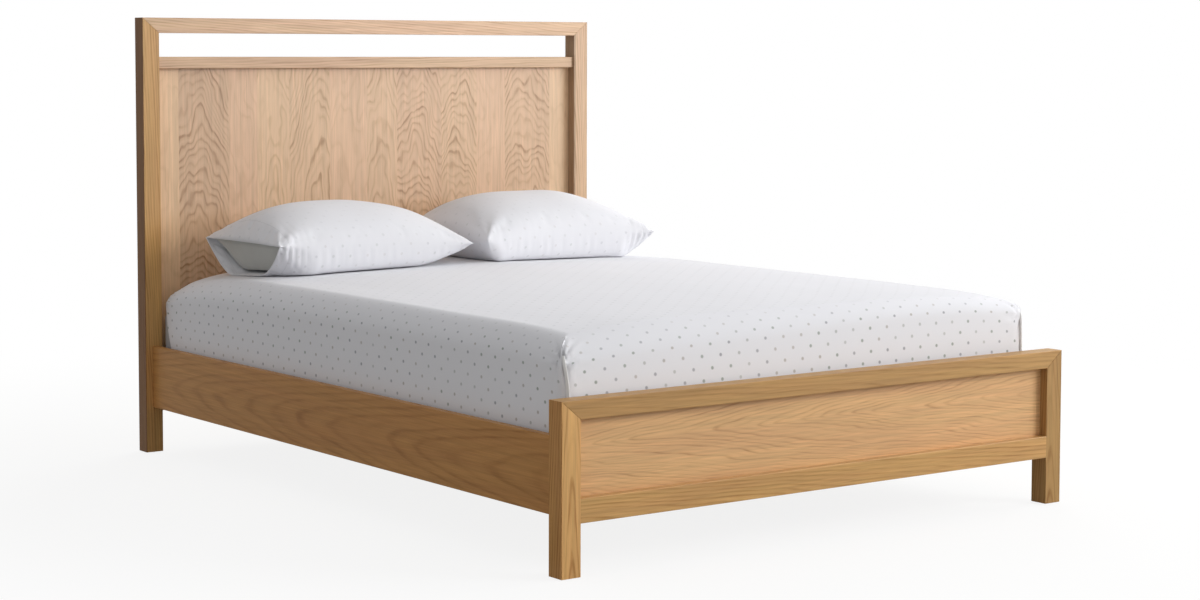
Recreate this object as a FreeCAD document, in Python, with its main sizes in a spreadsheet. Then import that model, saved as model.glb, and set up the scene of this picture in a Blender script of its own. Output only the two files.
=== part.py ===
"""Panel bed with a slotted headboard, a low footboard, slatted base, mattress, fitted sheet and two pillows.

Frame: X to the right seen from the foot, Y towards the headboard, Z up. The origin is on the floor
under the middle of the bed. Lengths are millimetres.
"""
import FreeCAD, Part
import math
import os
import re

import Sketcher

LEFT, RIGHT = -1, 1

doc = FreeCAD.newDocument("panel_bed")

# ---------------------------------------------------------------- driving dimensions

SIZES = {
    # a queen mattress, which sets the frame's width and length
    "mattress_wide": 1524,
    "mattress_long": 2032,
    "mattress_thick": 305,
    "mattress_corner": 48,
    "mattress_edge": 36,
    "mattress_side_gap": 14,      # to the side rails
    "mattress_end_gap": 12,       # to the posts
    # whole frame
    "head_height": 1300,
    "foot_height": 408,
    "glide_thick": 2,
    "glide_radius": 16,
    # posts and the frame rails between them
    "post_wide": 54,              # along X
    "post_deep": 50,              # along Y
    "top_rail_tall": 45,          # mitred to the posts
    "low_rail_start": 125,        # underside of the low rails above the floor
    "low_rail_tall": 57,
    "slot_tall": 71,              # open slot under the headboard's top rail
    "slot_rail_tall": 35,
    "slot_rail_setback": 8,
    # joinery
    "tenon_long": 30,
    "tenon_thick": 12,
    "tenon_shoulder": 10,
    "key_wide": 26,               # loose key across each mitre
    "key_tall": 22,
    "key_thick": 8,
    "panel_thick": 12,
    "groove_deep": 8,
    "head_panel_recess": 33,
    "foot_panel_recess": 24,
    # side rails
    "rail_inset": 22,             # rail face behind the post's side
    "rail_thick": 22,
    "rail_start": 137,            # underside above the floor
    "rail_tall": 183,
    # bed-rail fasteners
    "hook_thick": 2.5,
    "hook_plate_long": 45,
    "hook_plate_tall": 120,
    "hook_plate_rise": 38,        # above the rail's underside
    "hook_neck": 12,
    "hook_nose": 8,               # how far a hook reaches down behind its plate
    "hook_nose_thick": 4,
    "hook_margin": 22,            # from the plate's ends to the hooks
    "hook_play": 0.5,
    "catch_thick": 3,
    "catch_wide": 16,
    "hook_pocket_play": 1.5,
    # screws
    "screw_radius": 2,
    "screw_head_radius": 3.8,
    "screw_head_tall": 1.5,
    "screw_play": 0.2,
    "screw_bite": 16,             # thread length in the wood it holds to
    "catch_screw_bite": 9,        # short, to end in front of the panel's groove
    "plate_screw_margin": 9,
    # slatted base
    "ledger_thick": 25,
    "ledger_tall": 25,
    "ledger_rise": 75,            # above the rail's underside
    "ledger_gap": 3,              # to the hook plates
    "slat_count": 13,
    "slat_wide": 90,
    "slat_thick": 18,
    "slat_margin": 5,             # from the ledgers' ends to the first and last slats
    "slat_end_gap": 2,
    "beam_wide": 35,
    "beam_tall": 70,
    "beam_end_gap": 0.3,
    "hanger_thick": 3,
    "hanger_wide": 84,
    "hanger_seat": 40,
    "hanger_drop": 30,
    "hanger_rise": 13,
    "hanger_play": 0.3,
    # centre legs and their levelling feet
    "leg_wide": 42,
    "leg_spacing": 540,
    "leg_start": 30,              # underside of the wood above the floor
    "dowel_radius": 5,
    "dowel_long": 60,
    "nut_radius": 7,
    "nut_tall": 12,
    "nut_flange_radius": 10,
    "nut_flange_tall": 1.5,
    "stem_radius": 4,
    "stem_play": 0.3,
    "stem_long": 62,
    "stem_collar_radius": 6.5,
    "stem_collar_tall": 6,
    "stem_collar_start": 11,      # underside of the collar above the floor
    "stem_travel": 8,
    "pad_radius": 15,
    "pad_tall": 7,
    "pad_floor": 2,               # left under the stem's socket
    # fitted sheet and pillows
    "sheet_thick": 1.2,
    "sheet_tuck": 60,
    "cloth_gap": 0.3,
    "pillow_long": 620,
    "pillow_wide": 448,
    "pillow_thick": 188,
    "pillow_corner": 44,
    "pillow_gap": 36,             # between the two pillowcases
    "pillow_gap_x": 30,           # middle of that gap, to the right of the bed's middle
    "pillow_head_gap": 60,        # from the mattress's head end to the pillowcases
    "case_spare": 36,             # pillowcase past the pillow at its open end
    "case_thick": 1.2,
}

sheet = doc.addObject("Spreadsheet::Sheet", "Size")
for row, (name, number) in enumerate(SIZES.items(), start=1):
    sheet.set(f"A{row}", name)
    sheet.set(f"B{row}", str(number))
    sheet.setAlias(f"B{row}", name)
doc.recompute()

# ---------------------------------------------------------------- worked-out places

RAIL_IN = "(mattress_wide / 2 + mattress_side_gap)"
RAIL_OUT = f"({RAIL_IN} + rail_thick)"
HALF_WIDTH = f"({RAIL_OUT} + rail_inset)"
POST_INSIDE = f"({HALF_WIDTH} - post_wide)"
POST_FACE = "(mattress_long / 2 + mattress_end_gap)"  # post faces that the side rails meet
HALF_LENGTH = f"({POST_FACE} + post_deep)"
LOW_RAIL_TOP = "(low_rail_start + low_rail_tall)"
SLOT_RAIL_TOP = "(head_height - top_rail_tall - slot_tall)"
SLOT_RAIL_START = f"({SLOT_RAIL_TOP} - slot_rail_tall)"
TENON_FRONT = "((post_deep - tenon_thick) / 2)"
TENON_BACK = "((post_deep + tenon_thick) / 2)"
PLATE_START = "(rail_start + hook_plate_rise)"
PLATE_TOP = f"({PLATE_START} + hook_plate_tall)"
HOOK_MIDDLE = f"({RAIL_IN} - hook_thick / 2)"
HOOK_REACH = "(catch_thick + hook_play + hook_nose_thick)"
LEDGER_START = "(rail_start + ledger_rise)"
LEDGER_TOP = f"({LEDGER_START} + ledger_tall)"
LEDGER_INSIDE = f"({RAIL_IN} - ledger_thick)"
LEDGER_END = f"({POST_FACE} - hook_plate_long - ledger_gap)"
SLAT_TOP = f"({LEDGER_TOP} + slat_thick)"
SLAT_RUN = f"({LEDGER_END} * 2 - slat_margin * 2 - slat_wide)"   # first slat's middle to last slat's middle
SLAT_SCREW_X = f"({RAIL_IN} - ledger_thick / 2)"
BEAM_START = f"({LEDGER_TOP} - beam_tall)"
HANGER_FACE = f"({POST_FACE} - hanger_thick)"
HANGER_SCREW_X = "(beam_wide / 4 + hanger_play / 2 + hanger_thick / 2 + hanger_wide / 4)"
HANGER_SCREW_Z = f"({BEAM_START} + (hanger_rise - hanger_drop) / 2)"
STEM_START = "(pad_floor + stem_play)"
STEM_TOP = f"({STEM_START} + stem_long)"
MATTRESS_START = f"({SLAT_TOP} + cloth_gap * 2 + sheet_thick)"
MATTRESS_TOP = f"({MATTRESS_START} + mattress_thick)"
SHEET_TOP = f"({MATTRESS_TOP} + cloth_gap + sheet_thick)"
CASE_GROW = "(cloth_gap + case_thick)"
PILLOW_Y = f"(mattress_long / 2 - pillow_head_gap - {CASE_GROW} - pillow_wide / 2)"
PILLOW_STEP = f"(pillow_gap / 2 + {CASE_GROW} + pillow_long / 2)"
PILLOW_MIDDLE = f"({SHEET_TOP} + cloth_gap + {CASE_GROW} + pillow_thick / 2)"


def bound(expression):
    """The expression with each size read from the sheet."""
    return re.sub(r"[a-z]\w*", lambda word: f"Size.{word[0]}" if word[0] in SIZES else word[0], expression)


def value(expression):
    """The expression's number now."""
    return float(sheet.evalExpression(bound(expression)))


# ---------------------------------------------------------------- sketches, pads and pockets

def place(item, x="0", y="0", z="0"):
    for axis, expression in zip("xyz", (x, y, z)):
        item.setExpression(f".Placement.Base.{axis}", bound(expression))


def start_body(label, x="0", y="0", z="0"):
    body = doc.addObject("PartDesign::Body", label)
    body.Label = label
    body.AllowCompound = True
    place(body, x, y, z)
    return body


def sketch_on(body, plane, level):
    """An empty sketch parallel to one of the body's planes, at a level along the third axis."""
    sketch = body.newObject("Sketcher::SketchObject", "Sketch")
    origin = next(item for item in body.Origin.OriginFeatures if item.Role == plane)
    sketch.AttachmentSupport = (origin, [""])
    sketch.MapMode = "FlatFace"
    facing = -1 if plane == "XZ_Plane" else 1
    sketch.setExpression("AttachmentOffset.Base.z", bound(f"{facing} * ({level})"))
    return sketch


class Drawing:
    """Lines and circles for one sketch, each held at distances from the sketch's origin."""

    def __init__(self, sketch):
        self.sketch = sketch
        self.constraints = []
        self.sizes = {}

    def size(self, kind, expression, *points):
        self.sizes[len(self.constraints)] = expression
        self.constraints.append(Sketcher.Constraint(kind, *points, value(expression)))

    def hold(self, element, point, x, y):
        self.size("DistanceX", x, -1, 1, element, point)
        self.size("DistanceY", y, -1, 1, element, point)

    def line(self, x0, y0, x1, y1):
        start = FreeCAD.Vector(value(x0), value(y0), 0)
        end = FreeCAD.Vector(value(x1), value(y1), 0)
        return self.sketch.addGeometry(Part.LineSegment(start, end), False)

    def outline(self, corners):
        """A closed outline of straight edges through the corners."""
        lines = [self.line(*here, *there) for here, there in zip(corners, corners[1:] + corners[:1])]
        for line, following, (x, y) in zip(lines, lines[1:] + lines[:1], corners):
            self.constraints.append(Sketcher.Constraint("Coincident", line, 2, following, 1))
            self.hold(line, 1, x, y)

    def circle(self, x, y, radius):
        centre = FreeCAD.Vector(value(x), value(y), 0)
        shape = Part.Circle(centre, FreeCAD.Vector(0, 0, 1), value(radius))
        circle = self.sketch.addGeometry(shape, False)
        self.hold(circle, 3, x, y)
        self.size("Radius", radius, circle)

    def rounded(self, left, right, half, corner):
        """A rectangle from -left to right and -half to half with round corners."""
        far_left, far_right = f"-(({left}) - ({corner}))", f"(({right}) - ({corner}))"
        low, high = f"-(({half}) - ({corner}))", f"(({half}) - ({corner}))"
        sides = [(far_left, f"-({half})", far_right, f"-({half})"), (right, low, right, high),
                 (far_right, half, far_left, half), (f"-({left})", high, f"-({left})", low)]
        centres = [(far_right, low), (far_right, high), (far_left, high), (far_left, low)]
        lines = []
        for x0, y0, x1, y1 in sides:
            line = self.line(x0, y0, x1, y1)
            self.hold(line, 1, x0, y0)
            self.hold(line, 2, x1, y1)
            lines.append(line)
        for index, (x, y) in enumerate(centres):
            centre = FreeCAD.Vector(value(x), value(y), 0)
            circle = Part.Circle(centre, FreeCAD.Vector(0, 0, 1), value(corner))
            turn = Part.ArcOfCircle(circle, math.radians(90 * index - 90), math.radians(90 * index))
            arc = self.sketch.addGeometry(turn, False)
            following = lines[(index + 1) % len(lines)]
            self.constraints.append(Sketcher.Constraint("Tangent", lines[index], 2, arc, 1))
            self.constraints.append(Sketcher.Constraint("Coincident", arc, 2, following, 1))

    def finish(self):
        self.sketch.addConstraint(self.constraints)
        for number, expression in self.sizes.items():
            self.sketch.setExpression(f"Constraints[{number}]", bound(expression))


def rectangle(x0, y0, x1, y1):
    return [(x0, y0), (x1, y0), (x1, y1), (x0, y1)]


def fill_sketch(sketch, outlines, circles):
    drawing = Drawing(sketch)
    for corners in outlines:
        drawing.outline(corners)
    for circle in circles:
        drawing.circle(*circle)
    drawing.finish()


def fill_rounded(sketch, left, right, half, corner):
    drawing = Drawing(sketch)
    drawing.rounded(left, right, half, corner)
    drawing.finish()


def add(body, plane, low, high, outlines=(), circles=()):
    """Material between two levels along the plane's third axis."""
    sketch = sketch_on(body, plane, high if plane == "XZ_Plane" else low)
    fill_sketch(sketch, outlines, circles)
    pad = body.newObject("PartDesign::Pad", "Pad")
    pad.Profile = sketch
    pad.setExpression("Length", bound(f"({high}) - ({low})"))


def cut(body, plane, low, high, outlines=(), circles=()):
    """Takes material away between two levels along the plane's third axis."""
    sketch = sketch_on(body, plane, low if plane == "XZ_Plane" else high)
    fill_sketch(sketch, outlines, circles)
    pocket = body.newObject("PartDesign::Pocket", "Pocket")
    pocket.Profile = sketch
    pocket.setExpression("Length", bound(f"({high}) - ({low})"))


def grown(circles, play):
    """The same circles with some play round them."""
    return [(x, y, f"({radius}) + {play}") for x, y, radius in circles]


def at(spots, radius):
    return [(x, y, radius) for x, y in spots]


# ---------------------------------------------------------------- where the fasteners and repeats go

def plate_screw_heights():
    """The two screws of a hook or catch plate, near its ends."""
    return [f"({PLATE_START} + plate_screw_margin)", f"({PLATE_TOP} - plate_screw_margin)"]


def hook_heights():
    """Underside of each hook's neck."""
    return [f"({PLATE_START} + hook_margin)", f"({PLATE_TOP} - hook_margin - hook_neck)"]


def slat_places():
    count = int(value("slat_count"))
    return [f"({SLAT_RUN} * ({index} / (slat_count - 1) - 1 / 2))" for index in range(count)]


def ledger_screw_places():
    """One screw in each gap between slats."""
    places = slat_places()
    return [f"(({here} + {there}) / 2)" for here, there in zip(places, places[1:])]


def leg_places():
    return {"front": "(-leg_spacing)", "middle": "(0 * leg_spacing)", "rear": "(leg_spacing)"}


# ---------------------------------------------------------------- headboard and footboard

class EndFrame:
    """What differs between the headboard's frame and the footboard's."""

    def __init__(self, name, front, height, recess, panel_top, inside_face):
        self.name = name
        self.front = front                # Y of the frame's front face
        self.height = height
        self.recess = recess              # panel's face behind the frame's
        self.panel_top = panel_top        # underside of the rail that holds the panel's top edge
        self.inside_face = inside_face    # local Y of the face that meets the side rails
        self.inward = 1 if inside_face == "0" else -1


HEADBOARD = EndFrame("headboard", POST_FACE, "head_height", "head_panel_recess", SLOT_RAIL_START, "0")
FOOTBOARD = EndFrame("footboard", f"(-{HALF_LENGTH})", "foot_height", "foot_panel_recess",
                     "(foot_height - top_rail_tall)", "post_deep")


def span(end, start, stop):
    """Local Y levels of a cut that goes into a post from the face the side rail meets, low one first."""
    if end.inward > 0:
        return f"({start})", f"({stop})"
    return f"(post_deep - ({stop}))", f"(post_deep - ({start}))"


def key_outline(end, side):
    middle_x = f"{side} * ({HALF_WIDTH} - post_wide / 2)"
    middle_z = f"({end.height} - top_rail_tall / 2)"
    return rectangle(f"{middle_x} - key_wide / 2", f"{middle_z} - key_tall / 2",
                     f"{middle_x} + key_wide / 2", f"{middle_z} + key_tall / 2")


def key_levels():
    return "(post_deep - key_thick) / 2", "(post_deep + key_thick) / 2"


def make_post(end, side):
    name = f"{end.name}_post_{'left' if side == LEFT else 'right'}"
    body = start_body(name, y=end.front)
    outer, inner = f"{side} * {HALF_WIDTH}", f"{side} * {POST_INSIDE}"
    add(body, "XZ_Plane", "0", "post_deep", [[
        (outer, "glide_thick"), (outer, end.height),
        (inner, f"{end.height} - top_rail_tall"), (inner, "glide_thick")]])
    cut(body, "XZ_Plane", *key_levels(), [key_outline(end, side)])
    groove = f"{side} * ({POST_INSIDE} + groove_deep)"
    cut(body, "XZ_Plane", end.recess, f"{end.recess} + panel_thick",
        [rectangle(inner, f"{LOW_RAIL_TOP} - groove_deep", groove, f"{end.panel_top} + groove_deep")])
    mortise = f"{side} * ({POST_INSIDE} + tenon_long)"
    rails = [("low_rail_start", LOW_RAIL_TOP)]
    if end is HEADBOARD:
        rails.append((SLOT_RAIL_START, SLOT_RAIL_TOP))
    for low, high in rails:
        cut(body, "XZ_Plane", TENON_FRONT, TENON_BACK,
            [rectangle(inner, f"{low} + tenon_shoulder", mortise, f"{high} - tenon_shoulder")])
    cut_catch(body, end, side)


def cut_catch(body, end, side):
    """Recess for the catch plate, the pocket behind it for the hooks, and its screws' holes."""
    middle = f"{side} * {HOOK_MIDDLE}"
    cut(body, "XZ_Plane", *span(end, "0", "catch_thick"),
        [rectangle(f"{middle} - catch_wide / 2", PLATE_START, f"{middle} + catch_wide / 2", PLATE_TOP)])
    half = "(hook_thick / 2 + hook_pocket_play)"
    low, high = hook_heights()
    cut(body, "XZ_Plane", *span(end, "0", f"{HOOK_REACH} + hook_pocket_play"),
        [rectangle(f"{middle} - {half}", f"{low} - hook_nose - hook_pocket_play",
                   f"{middle} + {half}", f"{high} + hook_neck + hook_nose + hook_pocket_play")])
    spots = [(middle, height) for height in plate_screw_heights()]
    cut(body, "XZ_Plane", *span(end, "0", "catch_thick + catch_screw_bite + screw_play"),
        circles=grown(at(spots, "screw_radius"), "screw_play"))


def make_top_rail(end):
    body = start_body(f"{end.name}_top_rail", y=end.front)
    low = f"{end.height} - top_rail_tall"
    add(body, "XZ_Plane", "0", "post_deep", [[
        (f"-{HALF_WIDTH}", end.height), (HALF_WIDTH, end.height),
        (POST_INSIDE, low), (f"-{POST_INSIDE}", low)]])
    cut(body, "XZ_Plane", *key_levels(), [key_outline(end, side) for side in (LEFT, RIGHT)])
    if end is FOOTBOARD:
        side = f"({POST_INSIDE} + groove_deep)"
        cut(body, "XZ_Plane", end.recess, f"{end.recess} + panel_thick",
            [rectangle(f"-{side}", low, side, f"{low} + groove_deep")])


def make_tenoned_rail(end, label, low, high, front, groove_low, groove_high):
    """A rail with a tenon at each end and a groove for the panel's edge."""
    body = start_body(label, y=end.front)
    add(body, "XZ_Plane", front, "post_deep", [rectangle(f"-{POST_INSIDE}", low, POST_INSIDE, high)])
    for side in (LEFT, RIGHT):
        add(body, "XZ_Plane", TENON_FRONT, TENON_BACK,
            [rectangle(f"{side} * {POST_INSIDE}", f"{low} + tenon_shoulder",
                       f"{side} * ({POST_INSIDE} + tenon_long)", f"{high} - tenon_shoulder")])
    cut(body, "XZ_Plane", end.recess, f"{end.recess} + panel_thick",
        [rectangle(f"-{POST_INSIDE}", groove_low, POST_INSIDE, groove_high)])
    return body


def make_low_rail(end):
    body = make_tenoned_rail(end, f"{end.name}_bottom_rail", "low_rail_start", LOW_RAIL_TOP, "0",
                             f"{LOW_RAIL_TOP} - groove_deep", LOW_RAIL_TOP)
    cut(body, "XZ_Plane", *span(end, "0", "screw_bite + screw_play"),
        circles=grown(at(hanger_screw_spots(), "screw_radius"), "screw_play"))


def make_panel(end):
    body = start_body(f"{end.name}_panel", y=end.front)
    side = f"({POST_INSIDE} + groove_deep)"
    add(body, "XZ_Plane", end.recess, f"{end.recess} + panel_thick",
        [rectangle(f"-{side}", f"{LOW_RAIL_TOP} - groove_deep", side, f"{end.panel_top} + groove_deep")])


def make_mitre_keys():
    body = start_body("mitre_keys")
    low, high = key_levels()
    for end in (HEADBOARD, FOOTBOARD):
        add(body, "XZ_Plane", f"{end.front} + {low}", f"{end.front} + {high}",
            [key_outline(end, side) for side in (LEFT, RIGHT)])


def make_glides():
    """Round glides under the four posts, which the bed stands on."""
    body = start_body("post_glides")
    x, y = f"({HALF_WIDTH} - post_wide / 2)", f"({HALF_LENGTH} - post_deep / 2)"
    spots = [(f"{side} * {x}", f"{way} * {y}") for side in (LEFT, RIGHT) for way in (-1, 1)]
    add(body, "XY_Plane", "0", "glide_thick", circles=at(spots, "glide_radius"))


# ---------------------------------------------------------------- side rails and their fasteners

def plate_screw_spots():
    """Y and Z of every hook plate screw on one side of the bed."""
    y = f"({POST_FACE} - hook_plate_long / 2)"
    return [(f"{way} * {y}", height) for way in (-1, 1) for height in plate_screw_heights()]


def sideways(side, near, far):
    """Two distances from the middle of the bed as X levels, low one first."""
    return (f"({near})", f"({far})") if side == RIGHT else (f"(-({far}))", f"(-({near}))")


def make_side_rail(side):
    body = start_body(f"side_rail_{'left' if side == LEFT else 'right'}")
    add(body, "YZ_Plane", *sideways(side, RAIL_IN, RAIL_OUT),
        [rectangle(f"-{POST_FACE}", "rail_start", POST_FACE, "rail_start + rail_tall")])
    cut(body, "YZ_Plane", *sideways(side, RAIL_IN, f"{RAIL_IN} + screw_bite + screw_play"),
        circles=grown(at(plate_screw_spots() + ledger_screw_spots(), "screw_radius"), "screw_play"))


def hook_outline(way):
    """One hook plate seen from the side: a tall plate with two hooks that reach past the rail's end."""
    face = POST_FACE
    behind = f"({POST_FACE} + catch_thick + hook_play)"
    tip = f"({POST_FACE} + {HOOK_REACH})"
    start = f"({POST_FACE} - hook_plate_long)"
    corners = [(start, PLATE_START), (face, PLATE_START)]
    for low in hook_heights():
        corners += [(face, low), (behind, low), (behind, f"{low} - hook_nose"), (tip, f"{low} - hook_nose"),
                    (tip, f"{low} + hook_neck"), (face, f"{low} + hook_neck")]
    corners += [(face, PLATE_TOP), (start, PLATE_TOP)]
    return [(f"{way} * {y}", z) for y, z in corners]


def make_hook_plates():
    body = start_body("rail_hook_plates")
    for side in (LEFT, RIGHT):
        levels = sideways(side, f"{RAIL_IN} - hook_thick", RAIL_IN)
        add(body, "YZ_Plane", *levels, [hook_outline(way) for way in (-1, 1)])
        cut(body, "YZ_Plane", *levels, circles=grown(at(plate_screw_spots(), "screw_radius"), "screw_play"))


def make_hook_plate_screws():
    body = start_body("hook_plate_screws")
    seat = f"({RAIL_IN} - hook_thick)"
    for side in (LEFT, RIGHT):
        add(body, "YZ_Plane", *sideways(side, f"{seat} - screw_head_tall", seat),
            circles=at(plate_screw_spots(), "screw_head_radius"))
        add(body, "YZ_Plane", *sideways(side, seat, f"{RAIL_IN} + screw_bite"),
            circles=at(plate_screw_spots(), "screw_radius"))


def catch_levels(end, start, stop):
    low, high = span(end, start, stop)
    return f"{end.front} + {low}", f"{end.front} + {high}"


def catch_screw_spots():
    return [(f"{side} * {HOOK_MIDDLE}", height) for side in (LEFT, RIGHT) for height in plate_screw_heights()]


def make_catch_plates():
    """Slotted plates let into the posts, flush with their faces."""
    body = start_body("rail_catch_plates")
    slot_half = "(hook_thick / 2 + hook_play)"
    for end in (HEADBOARD, FOOTBOARD):
        plates, slots = [], []
        for side in (LEFT, RIGHT):
            middle = f"{side} * {HOOK_MIDDLE}"
            plates.append(rectangle(f"{middle} - catch_wide / 2", PLATE_START,
                                    f"{middle} + catch_wide / 2", PLATE_TOP))
            slots += [rectangle(f"{middle} - {slot_half}", low, f"{middle} + {slot_half}",
                                f"{low} + hook_neck + hook_nose + hook_play") for low in hook_heights()]
        whole = catch_levels(end, "0", "catch_thick")
        add(body, "XZ_Plane", *whole, plates)
        cut(body, "XZ_Plane", *whole, slots,
            circles=grown(at(catch_screw_spots(), "screw_radius"), "screw_play"))
        cut(body, "XZ_Plane", *catch_levels(end, "0", "screw_head_tall"),
            circles=grown(at(catch_screw_spots(), "screw_head_radius"), "screw_play"))


def make_catch_plate_screws():
    body = start_body("catch_plate_screws")
    for end in (HEADBOARD, FOOTBOARD):
        add(body, "XZ_Plane", *catch_levels(end, "0", "screw_head_tall"),
            circles=at(catch_screw_spots(), "screw_head_radius"))
        add(body, "XZ_Plane", *catch_levels(end, "screw_head_tall", "catch_thick + catch_screw_bite"),
            circles=at(catch_screw_spots(), "screw_radius"))


# ---------------------------------------------------------------- slatted base

def ledger_screw_spots():
    middle = f"({LEDGER_START} + ledger_tall / 2)"
    return [(y, middle) for y in ledger_screw_places()]


def make_ledger(side):
    """Batten along the inside of a side rail, which the slats' ends lie on."""
    body = start_body(f"slat_ledger_{'left' if side == LEFT else 'right'}")
    add(body, "YZ_Plane", *sideways(side, LEDGER_INSIDE, RAIL_IN),
        [rectangle(f"-{LEDGER_END}", LEDGER_START, LEDGER_END, LEDGER_TOP)])
    cut(body, "YZ_Plane", *sideways(side, LEDGER_INSIDE, RAIL_IN),
        circles=grown(at(ledger_screw_spots(), "screw_radius"), "screw_play"))
    cut(body, "YZ_Plane", *sideways(side, LEDGER_INSIDE, f"{LEDGER_INSIDE} + screw_head_tall"),
        circles=grown(at(ledger_screw_spots(), "screw_head_radius"), "screw_play"))
    spots = [(f"{side} * {SLAT_SCREW_X}", y) for y in slat_places()]
    cut(body, "XY_Plane", f"{LEDGER_TOP} - screw_bite - screw_play", LEDGER_TOP,
        circles=grown(at(spots, "screw_radius"), "screw_play"))


def make_ledger_screws():
    body = start_body("ledger_screws")
    for side in (LEFT, RIGHT):
        add(body, "YZ_Plane", *sideways(side, LEDGER_INSIDE, f"{LEDGER_INSIDE} + screw_head_tall"),
            circles=at(ledger_screw_spots(), "screw_head_radius"))
        add(body, "YZ_Plane",
            *sideways(side, f"{LEDGER_INSIDE} + screw_head_tall", f"{RAIL_IN} + screw_bite"),
            circles=at(ledger_screw_spots(), "screw_radius"))


def make_slat(number, place_y):
    body = start_body(f"slat_{number:02d}", y=place_y, z=LEDGER_TOP)
    half = f"({RAIL_IN} - slat_end_gap)"
    add(body, "XY_Plane", "0", "slat_thick",
        [rectangle(f"-{half}", "-slat_wide / 2", half, "slat_wide / 2")])
    spots = [(f"{side} * {SLAT_SCREW_X}", "0 * slat_wide") for side in (LEFT, RIGHT)]
    cut(body, "XY_Plane", "0", "slat_thick", circles=grown(at(spots, "screw_radius"), "screw_play"))
    cut(body, "XY_Plane", "slat_thick - screw_head_tall", "slat_thick",
        circles=grown(at(spots, "screw_head_radius"), "screw_play"))


def make_slat_screws():
    body = start_body("slat_screws", z=LEDGER_TOP)
    spots = [(f"{side} * {SLAT_SCREW_X}", y) for side in (LEFT, RIGHT) for y in slat_places()]
    add(body, "XY_Plane", "slat_thick - screw_head_tall", "slat_thick",
        circles=at(spots, "screw_head_radius"))
    add(body, "XY_Plane", "-screw_bite", "slat_thick - screw_head_tall", circles=at(spots, "screw_radius"))


def make_beam():
    body = start_body("centre_beam")
    half = "beam_wide / 2"
    end = f"({HANGER_FACE} - beam_end_gap)"
    add(body, "XY_Plane", BEAM_START, LEDGER_TOP, [rectangle(f"-{half}", f"-{end}", half, end)])
    cut(body, "XY_Plane", BEAM_START, f"{BEAM_START} + dowel_long / 2",
        circles=at([("0 * beam_wide", y) for y in leg_places().values()], "dowel_radius"))


def hanger_screw_spots():
    return [(f"{side} * {HANGER_SCREW_X}", HANGER_SCREW_Z) for side in (LEFT, RIGHT)]


def hanger_levels(way, start, stop):
    """Y levels counted from the low rail's inner face towards the middle of the bed, low one first."""
    near, far = f"({POST_FACE} - ({start}))", f"({POST_FACE} - ({stop}))"
    return (far, near) if way > 0 else (f"(-{near})", f"(-{far})")


def make_hanger(label, way):
    """Steel saddle on a low rail, which holds one end of the centre beam."""
    body = start_body(label)
    low, high = f"({BEAM_START} - hanger_drop)", f"({BEAM_START} + hanger_rise)"
    add(body, "XZ_Plane", *hanger_levels(way, "0", "hanger_thick"),
        [rectangle("-hanger_wide / 2", low, "hanger_wide / 2", high)])
    inner = "(beam_wide / 2 + hanger_play)"
    outer = f"({inner} + hanger_thick)"
    floor = f"({BEAM_START} - hanger_thick)"
    saddle = [(f"-{outer}", high), (f"-{outer}", floor), (outer, floor), (outer, high),
              (inner, high), (inner, BEAM_START), (f"-{inner}", BEAM_START), (f"-{inner}", high)]
    add(body, "XZ_Plane", *hanger_levels(way, "hanger_thick", "hanger_thick + hanger_seat"), [saddle])
    cut(body, "XZ_Plane", *hanger_levels(way, "0", "hanger_thick"),
        circles=grown(at(hanger_screw_spots(), "screw_radius"), "screw_play"))


def make_hanger_screws():
    body = start_body("hanger_screws")
    for way in (-1, 1):
        add(body, "XZ_Plane", *hanger_levels(way, "hanger_thick", "hanger_thick + screw_head_tall"),
            circles=at(hanger_screw_spots(), "screw_head_radius"))
        add(body, "XZ_Plane", *hanger_levels(way, "-screw_bite", "hanger_thick"),
            circles=at(hanger_screw_spots(), "screw_radius"))


# ---------------------------------------------------------------- centre legs and levelling feet

def make_leg(name, place_y):
    body = start_body(f"centre_leg_{name}", y=place_y, z="leg_start")
    half = "leg_wide / 2"
    top = f"({BEAM_START} - leg_start)"
    centre = ("0 * leg_wide", "0 * leg_wide")
    add(body, "XY_Plane", "0", top, [rectangle(f"-{half}", f"-{half}", half, half)])
    cut(body, "XY_Plane", f"{top} - dowel_long / 2", top, circles=[(*centre, "dowel_radius")])
    cut(body, "XY_Plane", "0", "nut_tall", circles=[(*centre, "nut_radius")])
    bore_top = f"({STEM_TOP} + stem_travel + stem_play - leg_start)"
    cut(body, "XY_Plane", "0", bore_top, circles=[(*centre, "stem_radius + stem_play")])


def leg_circles(radius):
    return [("0 * leg_wide", y, radius) for y in leg_places().values()]


def make_dowels():
    body = start_body("leg_dowels", z=BEAM_START)
    add(body, "XY_Plane", "-dowel_long / 2", "dowel_long / 2", circles=leg_circles("dowel_radius"))


def make_insert_nuts():
    """Threaded inserts in the legs' undersides, drawn without their threads."""
    body = start_body("leg_insert_nuts", z="leg_start")
    add(body, "XY_Plane", "-nut_flange_tall", "0", circles=leg_circles("nut_flange_radius"))
    add(body, "XY_Plane", "0", "nut_tall", circles=leg_circles("nut_radius"))
    cut(body, "XY_Plane", "-nut_flange_tall", "nut_tall", circles=leg_circles("stem_radius + stem_play"))


def make_stem(name, place_y):
    body = start_body(f"leveller_stem_{name}", y=place_y)
    centre = ("0 * leg_wide", "0 * leg_wide")
    add(body, "XY_Plane", STEM_START, STEM_TOP, circles=[(*centre, "stem_radius")])
    corners = [(f"stem_collar_radius * cos({step * 60})", f"stem_collar_radius * sin({step * 60})")
               for step in range(6)]
    add(body, "XY_Plane", "stem_collar_start", "stem_collar_start + stem_collar_tall", [corners])


def make_pad(name, place_y):
    body = start_body(f"leveller_pad_{name}", y=place_y)
    centre = ("0 * leg_wide", "0 * leg_wide")
    add(body, "XY_Plane", "0", "pad_tall", circles=[(*centre, "pad_radius")])
    cut(body, "XY_Plane", "pad_floor", "pad_tall", circles=[(*centre, "stem_radius + stem_play")])


# ---------------------------------------------------------------- mattress, sheet and pillows

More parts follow.
